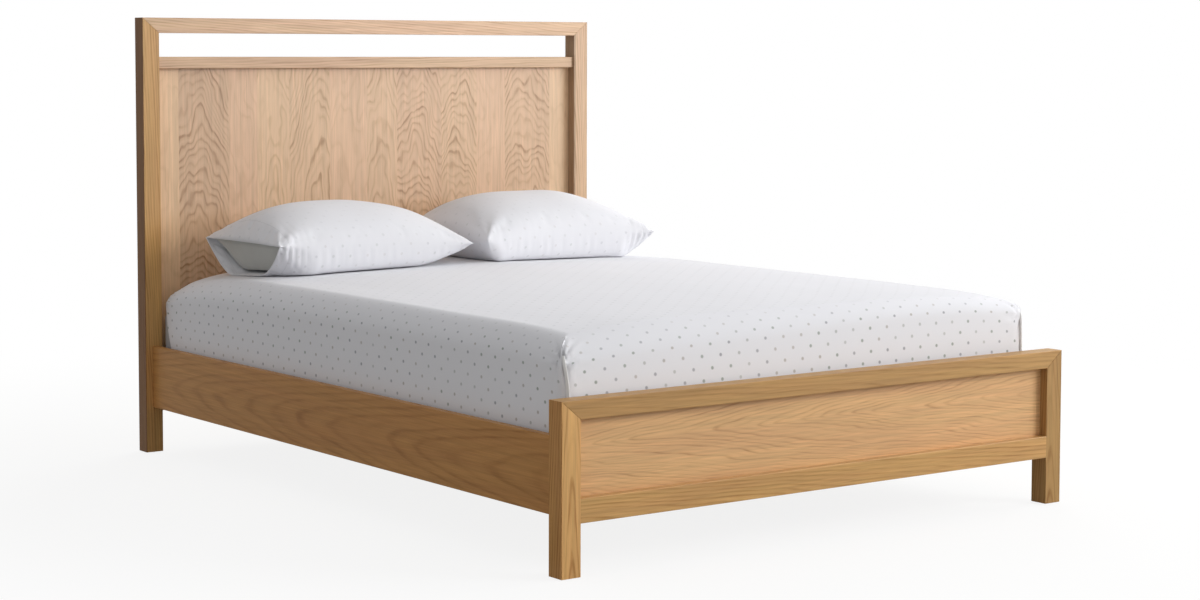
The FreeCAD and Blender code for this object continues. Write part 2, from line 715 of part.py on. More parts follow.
def padded_block(label, grow):
    """The mattress's form, larger all round by a distance, with round corners and edges."""
    body = start_body(label, z=f"{MATTRESS_START} - ({grow})")
    sketch = sketch_on(body, "XY_Plane", "0")
    half_wide = f"(mattress_wide / 2 + {grow})"
    fill_rounded(sketch, half_wide, half_wide, f"(mattress_long / 2 + {grow})",
                 f"(mattress_corner + {grow})")
    pad = body.newObject("PartDesign::Pad", "Pad")
    pad.Profile = sketch
    pad.setExpression("Length", bound(f"mattress_thick + 2 * ({grow})"))
    doc.recompute()
    flats = [f"Face{number}" for number, face in enumerate(pad.Shape.Faces, start=1)
             if abs(face.normalAt(0, 0).z) > 0.9]
    edge = body.newObject("PartDesign::Fillet", "Edges")
    edge.Base = (pad, flats)
    edge.setExpression("Radius", bound(f"mattress_edge + {grow}"))
    return body


def cut_away(label, base, tools):
    """The base with the tools taken out of it, as a named piece."""
    result = base
    for number, tool in enumerate(tools, start=1):
        taken = doc.addObject("Part::Cut", label if number == len(tools) else f"{label}_step")
        taken.Base = result
        taken.Tool = tool
        result = taken
    result.Label = label
    return result


def make_sheet():
    """Fitted sheet: a thin cover over the top and sides, tucked under the mattress all round."""
    outside = padded_block("sheet_outside", "(cloth_gap + sheet_thick)")
    inside = padded_block("sheet_inside", "cloth_gap")
    opening = doc.addObject("Part::Box", "sheet_opening")
    opening.setExpression("Length", bound("mattress_wide - 2 * sheet_tuck - 2 * mattress_edge"))
    opening.setExpression("Width", bound("mattress_long - 2 * sheet_tuck - 2 * mattress_edge"))
    opening.setExpression("Height", bound("mattress_thick / 2"))
    place(opening, "sheet_tuck + mattress_edge - mattress_wide / 2",
          "sheet_tuck + mattress_edge - mattress_long / 2", f"{MATTRESS_START} - mattress_thick / 4")
    return cut_away("fitted_sheet", outside, [inside, opening])


# share of the pillow's half height, and how far the outline there stands in from the seam, as a share of
# its thickness: steep near the seam and flat near the middle, as a filled pillow is
PILLOW_CROWN = [(0.55, 0.17), (0.9, 0.48), (1.0, 0.84)]
PILLOW_LEVELS = [(-height, pull) for height, pull in reversed(PILLOW_CROWN)] + [(0.0, 0.0)] + PILLOW_CROWN


def pillow_form(label, x, open_side, grow, spare):
    """A pillow's filled form, lofted through flat outlines; spare lengthens it at the case's open end."""
    body = start_body(label, x, PILLOW_Y, PILLOW_MIDDLE)
    outlines = []
    for height, pull in PILLOW_LEVELS:
        level = f"{height} * (pillow_thick / 2 + {grow})"
        inset = f"{pull} * pillow_thick"
        sketch = sketch_on(body, "XY_Plane", level)
        plain = f"(pillow_long / 2 + {grow} - {inset})"
        longer = f"(pillow_long / 2 + {grow} + {spare} - {inset})"
        left, right = (longer, plain) if open_side == LEFT else (plain, longer)
        fill_rounded(sketch, left, right, f"(pillow_wide / 2 + {grow} - {inset})",
                     f"(pillow_corner + {grow} + {inset} / 4)")
        outlines.append(sketch)
    loft = body.newObject("PartDesign::AdditiveLoft", "Loft")
    loft.Profile = outlines[0]
    loft.Sections = outlines[1:]
    loft.Ruled = True
    return body


def make_pillow(name, side):
    x = f"(pillow_gap_x + {side} * {PILLOW_STEP})"
    pillow_form(f"pillow_{name}", x, side, "0 * cloth_gap", "0 * cloth_gap")
    outside = pillow_form(f"case_outside_{name}", x, side, CASE_GROW, "(2 * case_spare)")
    inside = pillow_form(f"case_inside_{name}", x, side, "cloth_gap", "(2 * case_spare)")
    mouth = doc.addObject("Part::Box", f"case_mouth_{name}")
    mouth.setExpression("Length", bound("2 * case_spare"))
    mouth.setExpression("Width", bound("2 * pillow_wide"))
    mouth.setExpression("Height", bound("2 * pillow_thick"))
    reach = "(pillow_long / 2 + case_spare)"
    start = f"{x} - {reach} - 2 * case_spare" if side == LEFT else f"{x} + {reach}"
    place(mouth, start, f"{PILLOW_Y} - pillow_wide", f"{PILLOW_MIDDLE} - pillow_thick")
    return cut_away(f"pillowcase_{name}", outside, [inside, mouth])


# ---------------------------------------------------------------- the whole bed

for end_frame in (HEADBOARD, FOOTBOARD):
    for bed_side in (LEFT, RIGHT):
        make_post(end_frame, bed_side)
    make_top_rail(end_frame)
    make_low_rail(end_frame)
    make_panel(end_frame)
make_tenoned_rail(HEADBOARD, "headboard_slot_rail", SLOT_RAIL_START, SLOT_RAIL_TOP, "slot_rail_setback",
                  SLOT_RAIL_START, f"{SLOT_RAIL_START} + groove_deep")
make_mitre_keys()
make_glides()

for bed_side in (LEFT, RIGHT):
    make_side_rail(bed_side)
    make_ledger(bed_side)
make_hook_plates()
make_hook_plate_screws()
make_catch_plates()
make_catch_plate_screws()
make_ledger_screws()

for slat_number, slat_y in enumerate(slat_places(), start=1):
    make_slat(slat_number, slat_y)
make_slat_screws()
make_beam()
make_hanger("beam_hanger_head", 1)
make_hanger("beam_hanger_foot", -1)
make_hanger_screws()

for leg_name, leg_y in leg_places().items():
    make_leg(leg_name, leg_y)
    make_stem(leg_name, leg_y)
    make_pad(leg_name, leg_y)
make_dowels()
make_insert_nuts()

padded_block("mattress", "0 * cloth_gap")
fitted_sheet = make_sheet()
pillowcases = [make_pillow("left", LEFT), make_pillow("right", RIGHT)]

# ---------------------------------------------------------------- check and write

HELPERS = ("sheet_outside", "sheet_inside", "case_outside", "case_inside")

doc.recompute()
for item in doc.Objects:
    if "Invalid" in item.State or "Error" in item.State:
        raise RuntimeError(f"{item.Label} did not build: {item.State}")
for pocket in (item for item in doc.Objects if item.TypeId == "PartDesign::Pocket"):
    if pocket.Shape.Volume > pocket.BaseFeature.Shape.Volume - 0.01:
        raise RuntimeError(f"{pocket.Label} takes nothing from {pocket.getParentGeoFeatureGroup().Label}")

pieces = [item for item in doc.Objects
          if item.TypeId == "PartDesign::Body" and not item.Label.startswith(HELPERS)]
pieces += [fitted_sheet, *pillowcases]

os.makedirs("parts", exist_ok=True)
for piece in pieces:
    if piece.Shape.isNull() or not piece.Shape.isValid() or not piece.Shape.Solids:
        raise RuntimeError(f"{piece.Label} has no sound shape")
    piece.Shape.exportStep(os.path.join("parts", f"{piece.Label}.step"))
print(len(pieces), "pieces written")
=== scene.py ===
import math

import bmesh
import bpy
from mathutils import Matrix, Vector, noise


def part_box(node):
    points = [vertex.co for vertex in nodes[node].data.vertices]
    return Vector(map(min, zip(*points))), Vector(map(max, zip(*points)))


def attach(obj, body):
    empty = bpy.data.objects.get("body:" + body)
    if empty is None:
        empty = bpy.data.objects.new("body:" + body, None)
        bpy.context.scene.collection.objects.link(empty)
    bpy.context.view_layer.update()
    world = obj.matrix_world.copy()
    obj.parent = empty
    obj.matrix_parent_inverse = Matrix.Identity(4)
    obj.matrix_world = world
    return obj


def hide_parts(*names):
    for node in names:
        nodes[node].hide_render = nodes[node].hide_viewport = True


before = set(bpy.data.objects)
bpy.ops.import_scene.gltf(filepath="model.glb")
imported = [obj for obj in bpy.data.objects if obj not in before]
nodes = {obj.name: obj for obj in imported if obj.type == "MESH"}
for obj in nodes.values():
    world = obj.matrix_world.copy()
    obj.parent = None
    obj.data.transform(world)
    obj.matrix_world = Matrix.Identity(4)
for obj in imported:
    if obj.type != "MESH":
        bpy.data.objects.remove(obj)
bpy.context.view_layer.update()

mm = 0.001
print("frame loaded:", len(nodes), "nodes")


# small tools

def hexColour(text):   # an sRGB colour such as "c8a070" as linear red, green, blue, alpha
    parts = [int(text[i:i + 2], 16) / 255 for i in (0, 2, 4)]
    linear = [c / 12.92 if c <= 0.04045 else ((c + 0.055) / 1.055) ** 2.4 for c in parts]
    return (*linear, 1.0)


def addNode(tree, kind, inputs=(), stops=(), curve="EASE", **settings):   # text inputs are sRGB colours
    node = tree.nodes.new("ShaderNode" + kind)
    for name, setting in settings.items():
        setattr(node, name, setting)
    if not isinstance(inputs, dict):   # in the order of the sockets that the node shows
        inputs = dict(zip([at for at, socket in enumerate(node.inputs) if socket.enabled], inputs))
    for name, source in inputs.items():
        if isinstance(source, bpy.types.Node):
            source = next(socket for socket in source.outputs if socket.enabled)
        if isinstance(source, str):
            source = hexColour(source)
        if isinstance(source, bpy.types.NodeSocket):
            tree.links.new(source, node.inputs[name])
        else:
            node.inputs[name].default_value = source
    if stops:   # places with a grey level or a colour
        node.color_ramp.interpolation = curve
        elements = node.color_ramp.elements
        while len(elements) < len(stops):
            elements.new(1.0)
        for element, (place, level) in zip(elements, stops):
            element.position = place
            element.color = hexColour(level) if isinstance(level, str) else (level, level, level, 1)
    return node


def maths(tree, value, *steps, kind="Math"):   # maths nodes one after another
    for operation, *others in steps:
        value = addNode(tree, kind, (value, *others), operation=operation)
    return value


def vectors(tree, value, *steps):
    return maths(tree, value, *steps, kind="VectorMath")


def blend(tree, share, first, second, mode="MIX"):
    return addNode(tree, "Mix", (share, first, second), data_type="RGBA", blend_type=mode)


def objectPlace(tree):
    return addNode(tree, "TexCoord").outputs["Object"]


def startMaterial(name):
    material = bpy.data.materials.new(name)
    material.use_nodes = True
    material.node_tree.nodes.clear()
    return material, material.node_tree


def finishMaterial(material, surface):   # uniform values are set on the shader's own sockets
    tree = material.node_tree
    addNode(tree, "OutputMaterial", {"Surface": addNode(tree, "BsdfPrincipled", surface)})
    return material


def linkObject(name, data):   # an object at the origin
    thing = bpy.data.objects.new(name, data)
    bpy.context.scene.collection.objects.link(thing)
    return thing


def meshObject(name, bm, material):
    mesh = bpy.data.meshes.new(name)
    bm.to_mesh(mesh)
    bm.free()
    mesh.materials.append(material)
    return linkObject(name, mesh)


def finishPiece(name, bm, material, body, replaced=(), smooth=False):   # bmesh to a piece that rides
    piece = meshObject(name, bm, material)
    if smooth:
        piece.data.shade_smooth()
    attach(piece, body)
    if replaced:
        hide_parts(*replaced)
    return piece


def paintNode(name, material):
    mesh = nodes[name].data
    mesh.materials.clear()
    mesh.materials.append(material)


# wood: oak under a matt lacquer, which keeps its colour deep and its sheen soft; pine and birch are bare

oak = {
    # sRGB colours; ring and fibre widths in mm; how dark the rings are
    "light": "caa069", "dark": "8a5a2e", "warm": "c09059", "yellow": "c59b5d",
    "ring": 8, "fibre": 3.0, "contrast": 0.55, "roughness": 0.36, "specular": 0.08, "bump": 0.1,
}
# painted shade: the left side rail's oak is painted darker and redder than the oak, standing in for the shade
# on that side; its wider rings and stronger figure are the rail's own
shadedRailOak = {**oak, "light": "be8c56", "dark": "7a4820", "warm": "b57e48", "yellow": "ba874c", "ring": 15,
           "contrast": 0.6}
# painted sheen: the headboard's oak is painted paler than the rest, standing in for the soft reflection that
# brightens the headboard
paintedSheenOak = {**oak, "light": "e2bfa0", "dark": "96663f", "warm": "d8ad89", "yellow": "ddba8e"}
# painted sheen: the headboard panel's veneer is painted paler in the same way; the foot panel's veneer below
# keeps its own colours
paintedSheenVeneer = {**oak, "light": "dfbc9d", "dark": "875937", "warm": "d5ac88", "yellow": "dbba8c", "ring": 13,
          "contrast": 0.85, "specular": 0.10}
levelVeneer = {**paintedSheenVeneer, "light": "c8a174", "dark": "85572f", "warm": "bf9266", "yellow": "c49d6b", "ring": 9,
               "contrast": 0.55}
pine = {
    "light": "d6b47f", "dark": "b0834d", "warm": "cea773", "yellow": "d3b47e",
    "ring": 9, "fibre": 4.0, "contrast": 0.6, "roughness": 0.62, "specular": 0.2, "bump": 0.15,
}
birch = {
    "light": "d6bb93", "dark": "bd9a6c", "warm": "d0ae88", "yellow": "d3ba92",
    "ring": 6, "fibre": 2.5, "contrast": 0.3, "roughness": 0.6, "specular": 0.2, "bump": 0.1,
}
woodIor = 1.5
grain = {
    "lateWood": [(0.0, 0.2), (0.25, 0.0), (0.55, 0.25), (0.8, 1.0), (0.9, 0.8), (1.0, 0.2)],   # across a ring
    "year": (0.95, 0.35),               # how much the rings differ from year to year, and the palest
    "patches": (26, 120, 0.25, 1.5),    # where the rings show more or less: across and along in mm, from, to
    "tints": (45, 600),                 # slow change from warm to yellow
    "tintShare": 0.42,
    "bands": (11, 320, 0.88, 1.08),     # long lighter and darker bands
    "fibreLong": 45, "fine": (0.88, 1.07),      # fibres: length over width, and their light and dark
}
grainAxes = {"X": ("X", "Y", "Z"), "Y": ("Y", "X", "Z"), "Z": ("Z", "X", "Y")}


def grainCoordinates(tree, along):   # object coordinates with the first axis along the grain
    split = addNode(tree, "SeparateXYZ", (objectPlace(tree),))
    return addNode(tree, "CombineXYZ", [split.outputs[axis] for axis in grainAxes[along]])


def grainNoise(tree, coords, across, along, place, detail, roughness):   # drawn out along the grain, in mm
    narrow = 1 / (across * mm)
    scaled = addNode(tree, "Mapping", {"Vector": coords, "Location": place,
                                       "Scale": (1 / (along * mm), narrow, narrow)})
    return addNode(tree, "TexNoise", {"Vector": scaled, "Scale": 1.0, "Detail": detail, "Roughness": roughness})


def streaks(tree, coords, across, along, seed):
    return grainNoise(tree, coords, across, along, (seed * 7.3, seed * 2.9, seed * 5.1), 4.0, 0.6)


def bends(tree, coords, amount, along, across, seed, detail=2.0):   # how far the rings stray, in metres
    slow = grainNoise(tree, coords, across, along, (seed * 3.1, seed * 1.3, seed * 1.7), detail, 0.5)
    return maths(tree, slow, ("SUBTRACT", 0.5), ("MULTIPLY", amount * mm))


def growthRings(tree, coords, centre, slope, stray, ring):
    # rings round a tree's middle, which tapers: the board's face cuts them into nested arches
    away = vectors(tree, coords, ("SUBTRACT", centre))
    reach = vectors(tree, away, ("MULTIPLY", (0, 1, 1)), ("LENGTH",))
    count = maths(tree, addNode(tree, "SeparateXYZ", (away,)), ("MULTIPLY", slope), ("ADD", reach),
                  ("ADD", stray), ("DIVIDE", ring * mm))
    chance = addNode(tree, "TexWhiteNoise", {"W": maths(tree, count, ("FLOOR",))},
                     noise_dimensions="1D").outputs["Value"]
    change, palest = grain["year"]
    year = maths(tree, chance, ("MULTIPLY", change), ("ADD", palest))
    return maths(tree, count, ("FRACT",)), year     # the place in its ring, the ring's darkness


def multiplied(tree, colour, *shades):
    for shade in shades:
        colour = blend(tree, 1.0, colour, shade, "MULTIPLY")
    return colour


def levels(tree, value, least, most):   # noise stretched between two levels
    return addNode(tree, "ValToRGB", (value,), [(0.3, least), (0.7, most)], "LINEAR")


def grainBands(tree, coords, kind, seed):
    across, along, least, most = grain[kind]
    return levels(tree, streaks(tree, coords, across, along, seed), least, most)


def woodColour(tree, coords, wood, rings, strength, seed, tint=None):
    # each ring goes from pale early wood to a thin dark line of pores; slow noise moves the board's hue
    place, year = rings
    late = addNode(tree, "ValToRGB", (place,), grain["lateWood"])
    factors = (year, wood["contrast"], strength, grainBands(tree, coords, "patches", seed + 8))
    share = maths(tree, late, *(("MULTIPLY", factor) for factor in factors))
    if tint is None:
        tint = addNode(tree, "ValToRGB", (streaks(tree, coords, *grain["tints"], seed + 1),),
                       [(0.35, 0.0), (0.65, 1.0)])
    colour = blend(tree, grain["tintShare"], blend(tree, share, wood["light"], wood["dark"]),
                   blend(tree, tint, wood["warm"], wood["yellow"]))
    fibre = streaks(tree, coords, wood["fibre"], wood["fibre"] * grain["fibreLong"], seed + 2)
    return multiplied(tree, colour, grainBands(tree, coords, "bands", seed + 5),
                      levels(tree, fibre, *grain["fine"])), fibre


def finishWood(material, wood, colour, fibre, rings):   # pores roughen and dent the surface a little
    tree = material.node_tree
    rough = addNode(tree, "MapRange", (fibre, 0.3, 0.7, wood["roughness"] + 0.06, wood["roughness"] - 0.04))
    height = maths(tree, fibre, ("ADD", maths(tree, rings[0], ("MULTIPLY", -0.3))))
    bump = addNode(tree, "Bump", {"Height": height, "Strength": wood["bump"], "Distance": 0.6 * mm})
    return finishMaterial(material, {
        "Base Color": colour, "Roughness": rough, "Normal": bump, "IOR": woodIor,
        "Specular IOR Level": wood["specular"]})


def woodMaterial(name, wood, along, seed, centre=(0, 0, 0), slope=0.03, strength=1.0, shade=1.0,
                 bend=(18, 300, 60), outer=None):
    material, tree = startMaterial(name)
    coords = grainCoordinates(tree, along)
    rings = growthRings(tree, coords, centre, slope, bends(tree, coords, *bend, seed), wood["ring"])
    colour, fibre = woodColour(tree, coords, wood, rings, strength, seed)
    if outer:   # painted shade: the part of the post left of the given x is darkened, standing in for the shade on that side
        edge, tone = outer
        shadedSide = maths(tree, addNode(tree, "SeparateXYZ", (objectPlace(tree),)), ("LESS_THAN", edge))
        colour = blend(tree, shadedSide, colour, multiplied(tree, colour, (*tone, 1)))
    return finishWood(material, wood, multiplied(tree, colour, (shade, shade, shade, 1)), fibre, rings)


headPanel = {
    # each leaf: its left edge and the middle of its figure in mm, how steeply its rings run out,
    # how far its face is from the tree's middle, strength of the figure, lightness, warm (0) to yellow (1)
    "leaves": [
        # the leaf from -691 mm is darker partly in its own tone and partly as painted shade of the pillows
        (-770, -720, 0.03, 60, 0.2, 1.08, 1.0), (-691, -625, 0.40, 100, 1.0, 0.92, 0.3),
        (-521, -470, 0.02, 60, 0.25, 1.0, 0.1), (-424, -365, 0.10, 50, 0.6, 1.0, 0.9),
        (-312, -203, 0.26, 18, 0.9, 0.98, 0.7), (-166, -90, 0.03, 60, 0.3, 0.99, 0.3),
        (-29, 30, 0.12, 30, 0.7, 0.98, 0.6), (83, 150, 0.40, 90, 1.0, 0.96, 0.3),
        (255, 325, 0.38, 80, 1.0, 0.96, 0.6), (388, 450, 0.02, 60, 0.25, 1.02, 0.2),
        (505, 590, 0.42, 110, 1.0, 0.96, 0.4), (686, 730, 0.02, 60, 0.2, 1.07, 1.0)],
    "span": 1600,        # width that the leaf ramp covers, centred on the bed
    "face": 1061,        # the panel's front, from the middle of the bed
    "deepest": 200,      # largest depth and twice the lightness that a ramp can hold as 1
    "brightest": 2.0,
    "apart": 40.0,       # metres between the places in the noise that neighbouring leaves read
    "bend": (105, 210, 80, 6, 1.8),     # how far the rings stray: mm, its size along and across, seed, detail
    "seed": 4,
}


def leafValue(tree, place, column, most=1.0, shift=0.0):   # a value that is constant across each veneer leaf
    return addNode(tree, "ValToRGB", (place,), [
        (max(0.0, leaf[0] / headPanel["span"] + 0.5), leaf[column] / most + shift)
        for leaf in headPanel["leaves"]], "CONSTANT")


def veneerPanel(name):   # oak leaves edge to edge, the grain upright, some with cathedral figure
    values = headPanel
    material, tree = startMaterial(name)
    coords = grainCoordinates(tree, "Z")
    span = values["span"] * mm
    place = maths(tree, addNode(tree, "SeparateXYZ", (coords,)).outputs["Y"],
                  ("DIVIDE", span), ("ADD", 0.5))
    middle = leafValue(tree, place, 1, values["span"], 0.5)
    centre = addNode(tree, "CombineXYZ", {
        "Y": maths(tree, middle, ("SUBTRACT", 0.5), ("MULTIPLY", span)),
        "Z": maths(tree, leafValue(tree, place, 3, values["deepest"]),
                   ("MULTIPLY", values["deepest"] * mm), ("ADD", values["face"] * mm))})
    apart = addNode(tree, "CombineXYZ", (maths(tree, middle, ("MULTIPLY", values["apart"])),))
    moved = vectors(tree, coords, ("ADD", apart))
    rings = growthRings(tree, coords, centre, leafValue(tree, place, 2), bends(tree, moved, *values["bend"]),
                        paintedSheenVeneer["ring"])
    colour, fibre = woodColour(tree, moved, paintedSheenVeneer, rings, leafValue(tree, place, 4), values["seed"],
                               leafValue(tree, place, 6))
    most = values["brightest"]
    light = maths(tree, leafValue(tree, place, 5, most), ("MULTIPLY", most))
    return finishWood(material, paintedSheenVeneer, multiplied(tree, colour, light), fibre, rings)


# cloth

cotton = {
    "white": "e9e9ed", "tones": ["7d8278", "988d80", "80818a", "8c968c"],
    "pitch": 58.5, "dotRadius": 4.6,
    "hem": 38, "stitch": 6, "thread": 1.6,    # the pillowcase's hem; its stitches, coarser than the real 3 mm
    "stitchTone": "a9aaad",
    "yarn": 1.1,        # percale is near 0.25 mm; drawn coarse enough to catch the light
    "roughness": 0.85, "ior": 1.45, "specular": 0.04,
}


def dotLattice(tree, flat, shift):   # printed spots on a square lattice, and a random number for each
    pitch = (cotton["pitch"] * mm, cotton["pitch"] * mm, 1)
    moved = vectors(tree, flat, ("DIVIDE", pitch), ("ADD", (shift, shift, 0)))
    cell = vectors(tree, moved, ("FLOOR",))
    away = vectors(tree, moved, ("SUBTRACT", cell), ("SUBTRACT", (0.5, 0.5, 0)), ("MULTIPLY", pitch),
                   ("LENGTH",))
    radius = cotton["dotRadius"] * mm
    spot = addNode(tree, "MapRange", (away, radius * 0.55, radius * 1.25, 1.0, 0.0),
                   interpolation_type="SMOOTHSTEP")
    return spot, addNode(tree, "TexWhiteNoise", {"Vector": cell}).outputs["Value"]


def weave(tree, flat, thread):   # threads over and under, as a height
    waves = [addNode(tree, "TexWave", {"Vector": flat, "Scale": 0.05 / (thread * mm), "Distortion": 0.4},
                     bands_direction=axis).outputs["Fac"] for axis in ("X", "Y")]
    return addNode(tree, "Math", waves, operation="MULTIPLY")


def hemStitches(tree, flat):   # 1 on the stitches that hold the folded hem, and 1 where the cloth is double
    lip = addNode(tree, "Attribute", attribute_name="lip").outputs["Fac"]
    hem = cotton["hem"] * mm
    off = maths(tree, lip, ("SUBTRACT", hem), ("ABSOLUTE",))
    line = addNode(tree, "MapRange", (off, 0.0, cotton["thread"] * mm, 1.0, 0.0))
    run = addNode(tree, "SeparateXYZ", (flat,)).outputs["Y"]
    dash = maths(tree, run, ("DIVIDE", cotton["stitch"] * mm), ("FRACT",), ("LESS_THAN", 0.7))
    return maths(tree, line, ("MULTIPLY", dash)), maths(tree, lip, ("LESS_THAN", hem))


def printedCotton(name, strength, fade, hemmed=False):
    # cotton percale: matt, faintly fuzzy at grazing angles; its small dot print is painted fainter on faces
    # that look up, a painted highlight standing in for light washing it out
    material, tree = startMaterial(name)
    flat = addNode(tree, "UVMap", uv_map="flat")
    facing = addNode(tree, "SeparateXYZ", (addNode(tree, "NewGeometry").outputs["Normal"],))
    # painted highlight: the print is weaker on upward faces
    printPaintedWashOut = addNode(tree, "MapRange", (facing.outputs["Z"], 0.3, 0.9, strength, strength * (1 - fade)))
    tones = [(i / len(cotton["tones"]), tone) for i, tone in enumerate(cotton["tones"])]
    colour = cotton["white"]
    for shift in (0.0, 0.5):
        spot, chance = dotLattice(tree, flat, shift)
        ink = addNode(tree, "ValToRGB", (chance,), tones, "CONSTANT")
        worn = addNode(tree, "MapRange", (chance, 0.0, 1.0, 0.45, 1.0))
        colour = blend(tree, maths(tree, spot, ("MULTIPLY", worn), ("MULTIPLY", printPaintedWashOut)), colour, ink)
    height = weave(tree, flat, cotton["yarn"])
    if hemmed:
        stitch, double = hemStitches(tree, flat)
        shown = maths(tree, stitch, ("MULTIPLY", 0.35))
        colour = blend(tree, shown, colour, cotton["stitchTone"])
        step = maths(tree, double, ("SUBTRACT", stitch), ("MULTIPLY", 3.0))
        height = maths(tree, height, ("ADD", step))
    bump = addNode(tree, "Bump", {"Height": height, "Strength": 0.12, "Distance": 0.2 * mm})
    return finishMaterial(material, {
        "Base Color": colour, "Normal": bump, "Roughness": cotton["roughness"], "IOR": cotton["ior"],
        "Specular IOR Level": cotton["specular"], "Sheen Weight": 0.1, "Sheen Roughness": 0.5})


def plainCloth(name, colour, thread, depth):   # knitted or woven cloth in one shade, a little uneven
    material, tree = startMaterial(name)
    place = objectPlace(tree)
    cloudy = addNode(tree, "TexNoise", {"Vector": place, "Scale": 9.0, "Detail": 5.0})
    shade = levels(tree, cloudy, 0.93, 1.0)
    threads = weave(tree, place, thread)
    bump = addNode(tree, "Bump", {"Height": threads, "Strength": 0.35, "Distance": depth * mm})
    return finishMaterial(material, {
        "Base Color": multiplied(tree, colour, shade), "Normal": bump, "Roughness": 0.9,
        "Sheen Weight": 0.12, "Specular IOR Level": cotton["specular"]})


# hardware

def zincPlate(name, shade, roughness):   # pressed steel, bright zinc: grey, with a faint cloudy spangle
    material, tree = startMaterial(name)
    place = objectPlace(tree)
    spangle = addNode(tree, "TexVoronoi", {"Vector": place, "Scale": 260.0}).outputs["Distance"]
    cloud = addNode(tree, "TexNoise", {"Vector": place, "Scale": 90.0, "Detail": 4.0})
    mixed = maths(tree, spangle, ("ADD", cloud), ("MULTIPLY", 0.5))
    tint = addNode(tree, "ValToRGB", (mixed,), [(0.2, 0.85), (0.8, 1.05)], "LINEAR")
    rough = addNode(tree, "MapRange", (cloud, 0.0, 1.0, roughness - 0.08, roughness + 0.12))
    return finishMaterial(material, {
        "Base Color": multiplied(tree, shade, tint), "Roughness": rough, "Metallic": 1.0})


def mouldedNylon(name):   # black nylon from a lightly textured mould
    material, tree = startMaterial(name)
    place = objectPlace(tree)
    pits = addNode(tree, "TexNoise", {"Vector": place, "Scale": 900.0, "Detail": 2.0})
    tone = levels(tree, pits, 0.008, 0.016)
    rough = addNode(tree, "MapRange", (pits, 0.0, 1.0, 0.42, 0.6))
    bump = addNode(tree, "Bump", {"Height": pits, "Strength": 0.3, "Distance": 0.1 * mm})
    return finishMaterial(material, {"Base Color": tone, "Roughness": rough, "Normal": bump, "IOR": 1.53})


def pressedFelt(name):   # brown wool felt, fibres in every direction
    material, tree = startMaterial(name)
    place = objectPlace(tree)
    fibres = addNode(tree, "TexNoise", {"Vector": place, "Scale": 420.0, "Detail": 6.0, "Roughness": 0.7,
                                        "Distortion": 2.0})
    share = addNode(tree, "ValToRGB", (fibres,), [(0.35, 0.0), (0.65, 1.0)])
    colour = blend(tree, share, "3a2f26", "62513f")
    bump = addNode(tree, "Bump", {"Height": fibres, "Strength": 0.8, "Distance": 0.4 * mm})
    return finishMaterial(material, {
        "Base Color": colour, "Normal": bump, "Roughness": 0.95, "Sheen Weight": 0.4})


zinc = zincPlate("zincPlatedSteel", "b4b6b6", 0.34)
screwZinc = zincPlate("zincScrewSteel", "bdbbb0", 0.28)
nylon = mouldedNylon("blackNylon")
felt = pressedFelt("brownFelt")
knit = plainCloth("mattressKnit", "b7b8bc", 3.0, 0.5)
ticking = plainCloth("pillowTicking", "c9cac6", 1.2, 0.25)
sheetCotton = printedCotton("sheetPercale", 0.8, 0.72)
caseCotton = printedCotton("casePercale", 0.22, 0.6, hemmed=True)
seamCotton = plainCloth("seamPercale", "f4f3f2", 1.1, 0.2)
print("materials made")


# wooden pieces: merged copies of the CAD pieces with their long edges eased by sanding

easing = {"oak": 1.4, "pine": 2.0, "shortest": 60, "least": 60}     # mm; the least angle is in degrees


def easedPiece(node, material, radius):
    bm = bmesh.new()
    bm.from_mesh(nodes[node].data)
    bmesh.ops.remove_doubles(bm, verts=bm.verts, dist=0.01 * mm)
    bmesh.ops.dissolve_limit(bm, angle_limit=math.radians(0.5), verts=bm.verts, edges=bm.edges)
    outer = [edge for edge in bm.edges
             if edge.is_manifold and edge.is_convex and edge.calc_length() > easing["shortest"] * mm
             and edge.calc_face_angle() > math.radians(easing["least"])]
    bmesh.ops.bevel(bm, geom=outer, offset=radius * mm, offset_type="OFFSET", affect="EDGES", segments=2,
                    profile=0.5, material=-1, clamp_overlap=True)
    finishPiece(f"{node}_eased", bm, material, "frame", [node])


frameWood = {
    # node: wood, grain axis, seed, centre of the rings (along the grain, then the two other axes), run-out,
    # how strong its figure is, shade
    "headboard_post_left": (oak, "Z", 1, (0.0, -0.84, 1.01), 0.05, 1.3, 1.10),
    "headboard_post_right": (paintedSheenOak, "Z", 2, (0.0, 0.76, 1.01), 0.05, 1.3, 0.93),
    "headboard_top_rail": (paintedSheenOak, "X", 3, (-0.3, 1.00, 1.20), 0.08, 1.0, 1.0),
    "headboard_slot_rail": (paintedSheenOak, "X", 4, (0.4, 1.10, 1.30), 0.03, 0.8, 0.89),
    "headboard_bottom_rail": (paintedSheenOak, "X", 5, (0.1, 1.00, 0.05), 0.04, 1.0, 1.0),
    # painted light: this post's shade is raised so that its front reads lit, and its left side is darkened
    # again by the painted shade below
    "footboard_post_left": (oak, "Z", 6, (0.0, -0.79, -1.10), 0.06, 1.5, 1.28),
    "footboard_post_right": (oak, "Z", 7, (0.0, 0.78, -1.10), 0.06, 1.2, 0.77),
    "footboard_top_rail": (oak, "X", 8, (0.5, -1.12, 0.35), 0.04, 0.8, 0.90),
    "footboard_bottom_rail": (oak, "X", 9, (-0.3, -1.12, 0.10), 0.05, 1.1, 1.08),
    "side_rail_left": (shadedRailOak, "Y", 10, (-0.3, -0.74, 0.215), 0.10, 0.8, 1.04),
    "side_rail_right": (oak, "Y", 11, (0.4, 0.74, 0.235), 0.08, 0.7, 0.92),
}
